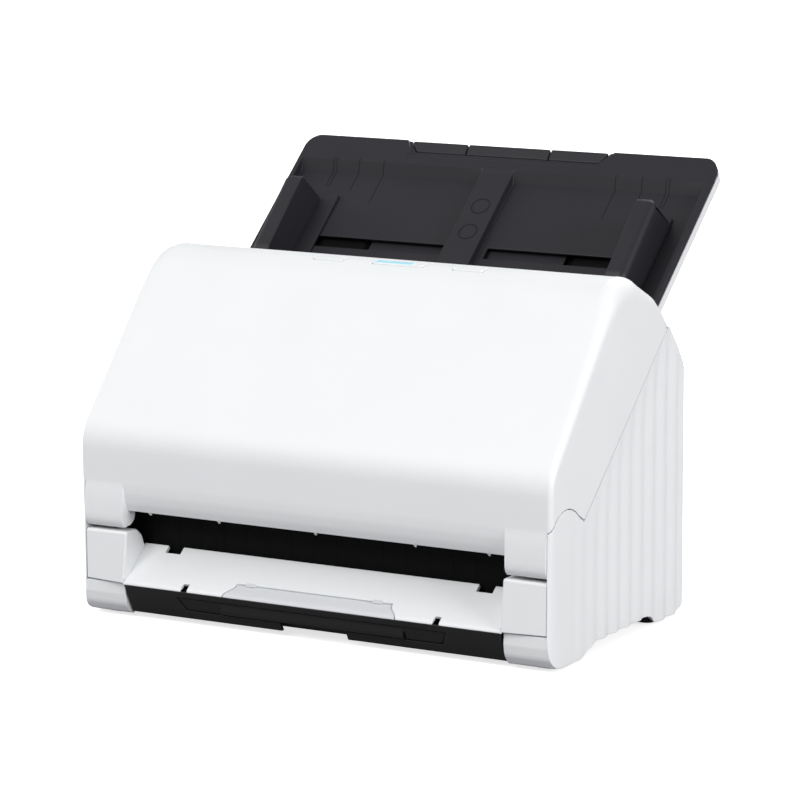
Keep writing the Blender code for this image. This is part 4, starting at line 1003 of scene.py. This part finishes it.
TYRE_RUBBER = plastic("tyre_rubber", (0.055, 0.055, 0.06), 0.75, grain=(500.0, 0.00008), gloss=0.25, edge_sheen=0.0)
ROLLER_RESIN = plastic("roller_resin", (0.02, 0.02, 0.021), 0.35, grain=(1500.0, 0.00001))


def lathe(steps, y, z, count=48, edge=0.35):
    """Turned shape about x: steps of x from, x to and radius, each with a small chamfer."""
    places, radii = [], []
    for low, high, radius in steps:
        corner = min(edge, radius / 2, (high - low) / 3)
        places += [low, low + corner, high - corner, high]
        radii += [radius - corner, radius, radius, radius - corner]
    ring = round_ring(1.0, count)
    rings = np.stack(np.broadcast_arrays(
        np.asarray(places)[:, None], y + np.outer(radii, ring[:, 0]), z + np.outer(radii, ring[:, 1])
    ), -1)
    return skinned(on_desk(rings))


def axis_of(node):
    """Ends along x, then y, z of the axis and radius of a round CAD node, in desk frame mm."""
    low, high = (np.array(corner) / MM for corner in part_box(node))
    middle = (low + high) / 2
    return (low[0], high[0]), middle[1] - FRONT_PLANE / MM, middle[2], (high[2] - low[2]) / 2


def ribbed(low, high, radius, count, depth):
    """Steps of a tyre with round grooves cut into it."""
    edges = np.linspace(low, high, 2 * count)
    spans = enumerate(zip(edges[:-1], edges[1:]))
    return [(start, end, radius - depth * (index % 2)) for index, (start, end) in spans]


SHAFTS = (                    # node, body, shaft radius, tyre finish, slot
    ("register_drive_roller", "register_drive", 3.0, TYRE_RUBBER, "grey_rubber"),
    ("eject_drive_roller", "eject_drive", 3.0, TYRE_RUBBER, "grey_rubber"),
    ("register_pinch_roller", "register_pinch", 1.5, ROLLER_RESIN, "dark_frame"),
    ("eject_pinch_roller", "eject_pinch", 1.5, ROLLER_RESIN, "dark_frame"),
)
for node, body, shaft_radius, finish, slot in SHAFTS:
    ends, y, z, radius = axis_of(node)
    tyres = [lathe([(x - 7.0, x + 7.0, radius)], y, z) for x in TYRES]
    fitted(piece(node + "_tyres", finish, *tyres, crease=50), body, slot, node)
    shaft = piece(node + "_shaft", GROUND_STEEL, lathe([(*ends, shaft_radius)], y, z, count=32))
    fitted(shaft, body, "steel")

RIBBED_ROLLERS = (            # node, body, shaft radius, number of ribs
    ("feed_roller", "feed_drive", 3.0, 12),
    ("separation_roller", "separation", 2.0, 10),
)
for node, body, shaft_radius, count in RIBBED_ROLLERS:
    ends, y, z, radius = axis_of(node)
    tyre = piece(node + "_tyre", TYRE_RUBBER, lathe(ribbed(-20.0, 20.0, radius, count, 0.6), y, z), crease=50)
    fitted(tyre, body, "grey_rubber", node)
    shaft = piece(node + "_shaft", GROUND_STEEL, lathe([(*ends, shaft_radius)], y, z, count=32))
    fitted(shaft, body, "steel")

for node, body in (("left_hinge_pin", "root"), ("right_hinge_pin", "root"), ("latch_bar", "latch")):
    ends, y, z, radius = axis_of(node)
    fitted(piece(node + "_rod", GROUND_STEEL, lathe([(*ends, radius)], y, z, count=32)), body, "steel", node)

# ---- Front cover ---------------------------------------------------------------------
# The large hinged cover is one white moulding 2.5 mm thick: the front face with its
# throat, a curved crown, cheeks that fall to the seam, a lip and two posts at the hinges.

COVER_PROFILE = open_line(
    [(0.4, 75.3), (0.1, 103.7), (76.6, 194.9), (98.9, 196.2), (121.5, 182.0), (130.0, 173.8), (137.4, 164.7)],
    [26.9, 22.1, 21.5, 30.0, 40.0], steps=12,
)
LIP_LINE = open_line([(4.8, 60.2), (2.4, 64.5), (0.9, 70.0), (0.4, 75.3)], [6.0, 8.0])
POST_LINE = open_line([(2.0, 51.0), (0.4, 51.9), (-0.7, 55.0), (-0.7, 62.0), (-0.3, 70.0), (0.4, 75.3)],
                      [1.0, 3.0, 20.0, 20.0])
EAR_MIDDLE = np.array((17.3, 66.0))
EAR_REACH = 19.3
COVER_SEAM = np.concatenate((
    EAR_MIDDLE + EAR_REACH * np.column_stack([
        wave(np.radians(np.linspace(134.5, 45.8, 20))) for wave in (np.cos, np.sin)
    ]),
    [(37.6, 75.9), (136.3, 163.0)],
))
COVER_THICKNESS = 2.5
LOW_ROWS = 9
THROAT = (94.5, 300.0, -134.0, 134.0)
KEY_ROW = (81.1, 88.9)
KEYS = {"power": (-44.0, -26.0), "start": (-7.0, 24.0), "stop": (43.0, 61.0)}
POCKETS = [(*KEY_ROW, low - 0.4, high + 0.4) for low, high in KEYS.values()]


def cover_rows():
    """Side view points of the cover's rows above its lip, with their inward normals."""
    length = np.concatenate(([0], np.cumsum(np.linalg.norm(np.diff(COVER_PROFILE, axis=0), axis=1))))
    rising = COVER_PROFILE[:, 1] > 110
    edges = np.interp((*KEY_ROW, THROAT[0]), COVER_PROFILE[rising, 0], length[rising])
    at = breaks(0.0, length[-1], 1.6, *edges)
    line = np.column_stack([np.interp(at, length, COVER_PROFILE[:, axis]) for axis in (0, 1)])
    ahead = np.gradient(line, at, axis=0)
    ahead /= np.linalg.norm(ahead, axis=1)[:, None]
    return at / at[-1], line, np.column_stack((ahead[:, 1], -ahead[:, 0]))


def cover_layer(across, depth):
    """The cover's skin at a depth below its outer face: rows up the side profile.

    Columns run from cheek to cheek. A row turns down its side edge on a quarter circle
    of radius r: x is the half width less r (1 - sin a) and the inset r (1 - cos a) for the
    angle a from the cheek. Its inner layer is the circle of radius r less the depth.
    """
    share, line, inwards = cover_rows()
    radius = np.interp(
        line[:, 0], (0.0, 6.0, 60.0, 75.0, 106.0, 122.0, 137.4), (3.0, 4.0, 6.0, 10.0, 10.0, 5.0, 2.7)
    )
    radius = np.where(line[:, 1] < 103.0, 3.0, radius)[:, None]
    angle = np.radians(np.linspace(0, 90, 8))[None]
    side_x = HALF_WIDTH - radius + (radius - depth) * np.cos(angle)
    side_in = radius - (radius - depth) * np.sin(angle)
    seam_length = np.concatenate(([0], np.cumsum(np.linalg.norm(np.diff(COVER_SEAM, axis=0), axis=1))))
    seam = np.column_stack([
        np.interp(share, seam_length / seam_length[-1], COVER_SEAM[:, axis]) for axis in (0, 1)
    ])
    fillet = line[:, None] + inwards[:, None] * side_in[..., None]
    arc_z = EAR_MIDDLE[1] + np.sqrt(np.clip(EAR_REACH ** 2 - (fillet[..., 0] - EAR_MIDDLE[0]) ** 2, 0, None))
    fillet[..., 1] += np.clip(arc_z - line[0, 1], 0, 5) * np.clip(1 - (line[:, 1:] - line[0, 1]) / 12, 0, 1)
    cheek_share = np.linspace(0, 1, 14)[None, :-1, None]
    cheek = seam[:, None] + cheek_share * (fillet[:, :1] - seam[:, None])
    cheek_x = np.full(cheek.shape[:2], HALF_WIDTH - depth)
    middle = np.broadcast_to((line + inwards * depth)[:, None], (len(line), len(across), 2))
    x = np.concatenate((
        -cheek_x, -side_x, np.broadcast_to(across, middle.shape[:2]), side_x[:, ::-1], cheek_x[:, ::-1],
    ), 1)
    yz = np.concatenate((cheek, fillet, middle, fillet[:, ::-1], cheek[:, ::-1]), 1)
    upper = np.concatenate((x[..., None], yz), -1)
    lip = resampled(LIP_LINE, LOW_ROWS + 1)[:-1] + (depth, 0)
    post = resampled(POST_LINE, LOW_ROWS + 1)[:-1] + (depth, 0)
    on_lip = (np.abs(x[:1]) < 118.1)[..., None]
    low_x = np.broadcast_to(x[:1, :, None], (LOW_ROWS, x.shape[1], 1))
    lower = np.concatenate((low_x, np.where(on_lip, lip[:, None], post[:, None])), -1)
    return np.concatenate((lower, upper))


cover_across = breaks(
    -135.0, 135.0, 6.0, *[edge for _, _, low, high in POCKETS for edge in (low, high)],
    *[side * edge for side in (-1, 1) for edge in (117.9, 118.4, 134.0)],
)
cover_outer = cover_layer(cover_across, 0.0)
cover_middle = (cover_outer[:-1, :-1] + cover_outer[1:, 1:]) / 2
cover_keep = ~((np.arange(len(cover_middle))[:, None] < LOW_ROWS) & (np.abs(cover_middle[..., 0]) > 142.5))
for low_y, high_y, low_x, high_x in [THROAT, *POCKETS]:
    cover_keep &= ~(
        (cover_middle[..., 0] > low_x) & (cover_middle[..., 0] < high_x) & (cover_middle[..., 2] > 150)
        & (cover_middle[..., 1] > low_y) & (cover_middle[..., 1] < high_y)
    )
cover_wall = walled(on_desk(cover_outer), on_desk(cover_layer(cover_across, COVER_THICKNESS)), cover_keep)

POST_SIDE = softened(
    [(1.5, 76.0), (0.6, 70.0), (0.4, 60.0), (0.4, 54.0), (1.6, 51.4), (8.0, 51.2), (12.0, 53.5), (13.2, 57.0),
     (12.0, 61.5), (10.0, 66.0), (10.0, 76.0)],
    [0.5, 5.0, 5.0, 3.0, 1.0, 6.0, 4.0, 5.0, 8.0, 8.0, 0.5],
)
posts = [
    bar(POST_SIDE, sorted((side * 118.45, side * 125.4)), (0.5, 0.5), on_desk) for side in (-1, 1)
]
RIB_SIDE = softened([(3.6, 66.0), (5.4, 60.5), (8.2, 58.0), (12.5, 66.0)], 0.3)
lip_ribs = [
    bar(RIB_SIDE, (x - 0.5, x + 0.5), (0.15, 0.15), on_desk) for x in (-105.1, -60.9, 0.0, 60.9, 105.1)
]
cover = piece("front_cover_moulding", CASING_WHITE, cover_wall, *posts, *lip_ribs, edge=0.3, crease=42)
fitted(cover, "cover", "white_casing", "front_cover")

# ---- Buttons -------------------------------------------------------------------------
# Three low keys stand in the cover's top strip: white caps, and a start key whose clear
# lens is lit pale blue from within.

LIT_LENS, lens_shader = mottled(
    "lit_lens", ("ShaderNodeTexNoise", "Fac", {"Detail": 1.0}), 140.0,
    ((0.34, 0.66, 0.80), (0.46, 0.78, 0.88)), roughness=0.2, metallic=0.0, placed=True,
)
lens_tone = lens_shader.inputs["Base Color"].links[0].from_socket
LIT_LENS.node_tree.links.new(lens_tone, lens_shader.inputs["Emission Color"])
lens_shader.inputs["Emission Strength"].default_value = 0.22


def key_cap(x_ends, y_ends, low, high, corner):
    """Key whose top follows the strip's slight fall towards the front."""
    rings = stacked(softened(rectangle(x_ends, y_ends), corner), low, high, 0.3, 0.5)[..., [1, 2, 0]]
    rings = np.concatenate((rings[..., :2], rings[..., 2:] + 0.06 * (rings[..., 1:2] - 85.0)), -1)
    return skinned(on_desk(rings))


for name, (low, high) in KEYS.items():
    cap = piece(name + "_key_cap", CASING_WHITE, key_cap((low, high), (81.5, 88.5), 189.6, 195.55, 1.2))
    fitted(cap, name + "_key", "white_casing", name + "_button")
lens = piece("start_key_lens", LIT_LENS, key_cap((-6.2, 17.5), (82.3, 87.7), 195.0, 195.75, 0.8))
fitted(lens, "start_key", "lit_button")

# ---- Inner frame of the cover --------------------------------------------------------
# A black ribbed sheet lines the cover, bent round the mouth and down the paper path. A
# steel bar across it turns two hooks and the release lever.

mouth_line = open_line(
    [(90.5, 190.0), (105.5, 187.0), (118.0, 178.5), path_yz(-128.0, 8.0), path_yz(-141.0, -2.0),
     path_yz(-273.0, -2.0), (14.5, 63.5), (11.5, 73.0)],
    [4.0, 8.0, 10.0, 6.0, 0.3, 2.0],
)
mouth_length = np.concatenate(([0], np.cumsum(np.linalg.norm(np.diff(mouth_line, axis=0), axis=1))))
straight_end = mouth_length[np.argmin(np.linalg.norm(mouth_line - path_yz(-273.0, -2.0), axis=1))]
mouth_windows = [
    (straight_end - (high + 273.0), straight_end - (low + 273.0), x_low, x_high)
    for low, high, x_low, x_high in [
        (-229.0, -201.0, -113.0, 113.0), (-162.5, -141.5, -21.0, 21.0),
        *tyre_windows(-186.0, 6.0), *tyre_windows(-262.0, 6.2),
    ]
]
mouth_windows.append((*np.interp((100.0, 131.0), mouth_line[:30, 0], mouth_length[:30]), 95.0, 115.0))
inner_frame = piece(
    "cover_guide_sheet", INNER_SHADE_BLACK,
    bent_sheet(mouth_line, -2.0, 132.7, mouth_windows, rib_pitch=14.3, rib_height=0.3),
)
fitted(inner_frame, "cover", "dark_frame", "cover_guide_frame")

HOOK_SIDE = softened(
    [(-139.0, 24.0), (-132.5, 24.0), (-132.5, -7.5), (-128.5, -10.0), (-131.0, -13.0), (-137.0, -13.0),
     (-139.0, -8.0)],
    [3.2, 3.2, 1.0, 0.6, 1.5, 2.0, 4.0],
)
LEVER_SIDE = softened(
    [(-140.5, 16.0), (-131.5, 16.0), (-126.0, 34.0), (-129.0, 38.0), (-137.5, 28.0)],
    [4.0, 3.0, 2.0, 2.5, 6.0],
)
for side, node in ((-1, "left_latch_hook"), (1, "right_latch_hook")):
    hook = bar(HOOK_SIDE, sorted((side * 137.2, side * 140.2)), (0.3, 0.3), on_path)
    fitted(piece(node + "_plate", SENSOR_BLACK, hook), "latch", "dark_frame", node)
lever = piece("release_lever_arm", SENSOR_BLACK, bar(LEVER_SIDE, (97.0, 113.0), (0.8, 0.8), on_path))
fitted(lever, "latch", "dark_frame", "release_lever")

# ---- Feed tray -----------------------------------------------------------------------
# Black grained tray: a flat frame steps down a slanted band to the plate that the sheets
# lie on. A raised rib runs down its middle, and the guides' feet pass two cross slots.

TRAY_BLACK = plastic(
    "tray_black", (0.0150, 0.0138, 0.0185), 0.46, grain=(1150.0, 0.00003), cloudiness=0.05, gloss=0.38,
    dust=0.02,
)
TRAY_HALF = 132.9
TRAY_CORNER = 9.0
TRAY_LOW = -128.0


def corner_drawn(x, s, half, corner):
    """Columns x drawn in towards the top edge so that the plan's two top corners are round."""
    deep = np.clip(s + corner, 0, corner)
    width = half - corner + np.sqrt(corner ** 2 - deep ** 2)
    return pinched(x, half - width, (0.6 * half, half), (0, 1))


def tray_height(x, s):
    """Upper face of the tray: frame, slanted band, plate, side rims and middle rib."""
    x, s = np.broadcast_arrays(np.abs(x), s)
    band = np.clip((-19.0 - s) / 5.5, 0, 1)
    well = np.where(x < 129.95, band, 0.0)
    height = -5.0 * well
    height = np.where((x < 10.2) & (s > -100.0), np.maximum(height, -0.45), height)
    finger_lip = (x < 66.6) & (s > -11.4)
    return np.where(finger_lip, -1.2, height)


tray_rows = breaks(
    TRAY_LOW, 0.0, 2.0, -100.0, -99.6, -82.0, -74.0, -24.5, -19.0, -12.0, -11.2, -8.3, -6.0, -3.0, -1.2, -0.4
)
tray_columns = breaks(-TRAY_HALF, TRAY_HALF, 8.0, *[
    side * edge for side in (-1, 1)
    for edge in (10.0, 10.4, 14.0, 64.3, 66.4, 66.8, 118.0, 129.9, 130.1, 132.3)
])
tray_bend = 5.5 * np.clip(-tray_rows / 8.3, 0, 1) ** 1.15 * np.clip((tray_rows + 14) / 3, 0, 1)
tray_x = corner_drawn(tray_columns[None], tray_rows[:, None], TRAY_HALF, TRAY_CORNER)
tray_x = pinched(tray_x, tray_bend[:, None], (40.0, 64.3, 66.4, 100.0), (0, 1, 1, 0))
tray_top = tray_height(tray_columns[None], tray_rows[:, None])
tray_under = np.where((np.abs(tray_columns) < 130.0)[None] & (tray_rows < -22.0)[:, None], -6.4, -4.2)
tray_keep = kept(tray_rows, tray_columns, [
    (-8.3, 1.0, -64.3, 64.3), (-82.0, -74.0, 14.0, 118.0), (-82.0, -74.0, -118.0, -14.0),
])
tray_sheet = walled(
    on_path(np.stack(np.broadcast_arrays(tray_x, tray_rows[:, None], tray_top), -1)),
    on_path(np.stack(np.broadcast_arrays(tray_x, tray_rows[:, None], tray_under), -1)), tray_keep,
)
sleeve_plans = [softened(rectangle(sorted((side * 130.2, side * 132.3)), (TRAY_LOW, -12.0)), 0.3)
                for side in (-1, 1)]
sleeves = [flat_plate(plan, -6.0, -3.9, 0.2, 0.1, on_path) for plan in sleeve_plans]
tray_plate = piece("feed_tray_sheet", TRAY_BLACK, tray_sheet, *sleeves, edge=0.35, crease=30)
fitted(tray_plate, "root", "black_tray", "feed_tray")


def tick(x, low, high):
    """Fine raised line that follows the tray's face: a size mark for the paper guides."""
    s = breaks(low, high, 2.0, -24.5, -19.0)[:, None]
    columns = np.array((x - 0.28, x + 0.28))[None]
    top = tray_height(columns, s)
    outer = np.stack(np.broadcast_arrays(columns, s, top + 0.05), -1)
    inner = np.stack(np.broadcast_arrays(columns, s, top - 0.4), -1)
    return walled(on_path(outer), on_path(inner))


def raised_ring(x, s, radius, height):
    """Flat embossed ring on the rib, its rings of points going in, up and out again."""
    circle = round_ring(1.0, 64)
    levels = ((radius, height - 0.3), (radius, height), (radius - 0.7, height), (radius - 0.7, height - 0.3))
    return walled(*[
        on_path(np.stack([
            np.column_stack((x + circle[:, 0] * reach_out, s + circle[:, 1] * reach_out, np.full(64, level)))
            for reach_out, level in pair
        ])[:, np.arange(65) % 64]) for pair in (levels[1:3], (levels[0], levels[3]))
    ])


# The marks are blacker and duller than the tray: painted shade, as if they were grooves.
MARK_SHADE_BLACK = plastic(
    "size_mark_painted_shade", (0.010, 0.0095, 0.011), 0.5, grain=(1500.0, 0.00001), gloss=0.2, dust=0.0, edge_sheen=0.0
)
ticks = [tick(side * x, low, -17.0) for side in (-1, 1)
         for x, low in ((75.0, -47.0), (91.5, -38.0), (106.5, -36.0), (108.6, -36.0))]
rings_on_rib = [raised_ring(0.0, s, 5.8, -0.36) for s in (-47.0, -66.7)]
marks = piece("tray_size_marks", MARK_SHADE_BLACK, *ticks, *rings_on_rib)
fitted(marks, "root", "black_tray")

# ---- Back of the feed tray -----------------------------------------------------------
# The tray's white back is a shallow tub with rounded edges, deeper in its middle where the
# two extensions lie. A black sheet laid on the floor that shows through the cross slots is painted shade.

side_profile = np.array([(-5.3, 0.0), (-9.4, 0.0), (-10.15, 0.25), (-10.5, 0.7), (-10.6, 1.3)])
back_edge = TRAY_HALF - side_profile[:, 1]
back_columns = np.concatenate((-back_edge, breaks(
    -130.5, 130.5, 10.0, *[side * edge for side in (-1, 1) for edge in (62.0, 63.5, 64.8, 66.2, 67.2, 68.0)]
)[1:-1], back_edge[::-1]))
back_rows = np.concatenate((-side_profile[:, 1], breaks(TRAY_LOW, -3.0, 5.0, -113.0, -111.0, -109.0)[::-1]))
column_h = np.concatenate((side_profile[:, 0], np.full(len(back_columns) - 10, -10.6), side_profile[::-1, 0]))
row_h = np.concatenate((side_profile[:, 0], np.full(len(back_rows) - 5, -10.6)))
bulge = eased((68.0 - np.abs(back_columns)) / 3.2)[None] * eased((back_rows + 113.0) / 4.0)[:, None]
outer_h = np.maximum(row_h[:, None], column_h[None]) - 2.6 * bulge
inner_h = np.where(outer_h > -9.4, outer_h, np.maximum(outer_h + 1.5, -11.7))
flat_h = np.where(inner_h < -8.6, np.maximum(inner_h, -9.0), inner_h)
inner_h = np.where(bulge > 0.02, np.maximum(outer_h + 1.5, -11.7), flat_h)
back_x = corner_drawn(back_columns[None], back_rows[:, None], TRAY_HALF, TRAY_CORNER)
back_x = np.broadcast_to(back_x, outer_h.shape)
wall_x = np.sign(back_x) * np.minimum(np.abs(back_x), 130.9)
wall_s = np.where(bulge > 0.02, back_rows[:, None], np.minimum(back_rows, -2.2)[:, None])
back_s = np.broadcast_to(back_rows[:, None], outer_h.shape)
back_outer = on_path(np.stack((back_x, back_s, outer_h), -1))
back_inner = on_path(np.stack((wall_x, wall_s, inner_h), -1))
back_keep = kept(np.arange(len(back_rows)), back_columns, [(0, 4, -66.2, 66.2)])
back_tub = walled(back_outer, back_inner, back_keep)
tray_back = piece("feed_tray_back_tub", CASING_WHITE, back_tub, crease=45, edge=0.2)
fitted(tray_back, "root", "white_casing", "feed_tray_back")

# These black sheets are painted shade: one on the tub's floor under the slots, one strip at the tray's foot.
floor_part = (slice(6, None), slice(4, -4))
shade_sheet_base = np.stack((wall_x, wall_s, inner_h + 0.02), -1)[floor_part]
shade_sheets = [
    walled(on_path(shade_sheet_base + (0, 0, 0.13)), on_path(shade_sheet_base)),
    flat_plate(softened(rectangle((-128.0, 128.0), (-134.0, -121.0)), 0.5), -8.6, -7.15, 0.1, 0.1, on_path),
]
shade_sheet = piece("feed_tray_painted_shade_sheet", INNER_SHADE_BLACK, *shade_sheets)
fitted(shade_sheet, "root", "dark_frame")

# ---- Feed tray extensions ------------------------------------------------------------
# Two flat slides lie in the tub and draw out of the tray's top edge. Three finger grips
# fill the notch in that edge: the middle one pulls the inner slide, the others the outer.


def grip(corners, low, radius):
    """Finger grip with a plan outline, its top falling away a little towards the notch."""
    rings = stacked(softened(corners, radius), low, -0.25, 0.2, 0.8)[..., [1, 2, 0]]
    fall = 0.2 * (-0.4 - rings[..., 1:2]) * (rings[..., 2:] > -3)
    return skinned(on_path(np.concatenate((rings[..., :2], rings[..., 2:] - fall), -1)))


GRIP_PLAN = np.array(((27.0, -0.4), (64.05, -0.4), (59.1, -7.6), (27.0, -7.6)))
outer_grips = [grip(GRIP_PLAN * (side, 1), -9.8, (1.0, 1.0, 2.6, 1.0)) for side in (-1, 1)]
outer_plate = softened(
    [(-62.5, -8.6), (-27.2, -8.6), (-27.2, -9.4), (27.2, -9.4), (27.2, -8.6), (62.5, -8.6), (62.5, -104.0),
     (-62.5, -104.0)],
    (1.0, 0.4, 0.4, 0.4, 0.4, 1.0, 4.0, 4.0),
)
web_plans = [softened(rectangle(sorted((side * 27.0, side * 63.9)), (-9.6, -0.5)), 0.3) for side in (-1, 1)]
webs = [flat_plate(plan, -9.9, -4.5, 0.1, 0.2, on_path) for plan in web_plans]
wide_slide = piece(
    "wide_tray_extension", TRAY_BLACK, *outer_grips, *webs,
    flat_plate(outer_plate, -9.9, -8.5, 0.2, 0.2, on_path),
)
fitted(wide_slide, "feed_stage_one", "black_tray", "feed_extension_outer")
narrow_slide = piece(
    "narrow_tray_extension", TRAY_BLACK,
    grip([(-26.3, -0.4), (26.3, -0.4), (26.3, -7.6), (-26.3, -7.6)], -11.2, (1.0, 1.0, 1.0, 1.0)),
    flat_plate(softened(rectangle((-25.0, 25.0), (-92.0, -4.0)), 3.0), -11.4, -10.2, 0.2, 0.2, on_path),
)
fitted(narrow_slide, "feed_stage_two", "black_tray", "feed_extension_inner")

# ---- Paper guides --------------------------------------------------------------------
# Two upright guides slide on the tray. Each is one black moulded bar on a base plate. Its
# foot passes the slot to a rack, and a pinion between the racks makes them close together.

GUIDE_SIDE = softened(
    [(-114.0, -4.6), (-114.0, 8.0), (-106.0, 18.0), (-54.0, 21.0), (-51.5, 20.0), (-47.0, -1.0),
     (-47.0, -4.6)],
    [0.3, 8.0, 8.0, 1.5, 1.5, 0.8, 0.3], steps=8,
)
RACK_HEIGHTS = (-8.2, -6.7)


def rack_bar(side):
    """Toothed bar: flat-topped teeth of one pitch along x on the edge towards the pinion."""
    pitch = math.pi
    tip = -5.15
    tooth = np.array(((-0.5, 0.0), (-0.38, 0.0), (-0.19, -2.0), (0.19, -2.0), (0.38, 0.0)))
    count = 38
    starts = (-2 + 0.5 + np.arange(count)) * pitch
    teeth = np.concatenate([
        np.column_stack((start + tooth[:, 0] * pitch, tooth[:, 1] + tip)) for start in starts
    ])
    outline = np.concatenate((teeth, [(36 * pitch, tip), (36 * pitch, -11.0), (-2 * pitch, -11.0)]))
    plan = np.column_stack((side * outline[:, 0], -78.0 + side * outline[:, 1]))
    return flat_plate(plan, *RACK_HEIGHTS, 0.0, 0.0, on_path)


def guide_shapes(side):
    """Upright bar, base plate, inner wing, foot, slider and rack of one paper guide."""
    ends = sorted((side * 107.0, side * 118.7))
    upright = np.clip((GUIDE_SIDE[:, 1] + 3) / 4, 0, 1)
    rounds = (0.7, 4.2) if side > 0 else (4.2, 0.7)
    rack_back = -78.0 - side * 11.0
    plates = (
        ((95.6, 118.4), (-96.0, -43.0), (-4.75, -3.0), 1.6),
        ((104.0, 112.0), (-81.5, -74.5), (-8.1, -4.0), 0.6),
        ((102.0, 114.0), sorted((-78.0, rack_back + side * 1.2)), (-8.15, -6.75), 0.4),
    )
    shapes = [bar(GUIDE_SIDE, ends, rounds, on_path, share=upright, steps=6)]
    for x_ends, s_ends, (low, high), corner in plates:
        plan = softened(rectangle(sorted((side * x_ends[0], side * x_ends[1])), s_ends), corner)
        shapes.append(flat_plate(plan, low, high, 0.15, 0.5 if corner > 1 else 0.15, on_path))
    return shapes + [rack_bar(side)]


for node, body, side in (("left_paper_guide", "left_guide", -1), ("right_paper_guide", "right_guide", 1)):
    guide = piece(node + "_moulding", TRAY_BLACK, *guide_shapes(side), crease=40)
    fitted(guide, body, "black_tray", node)
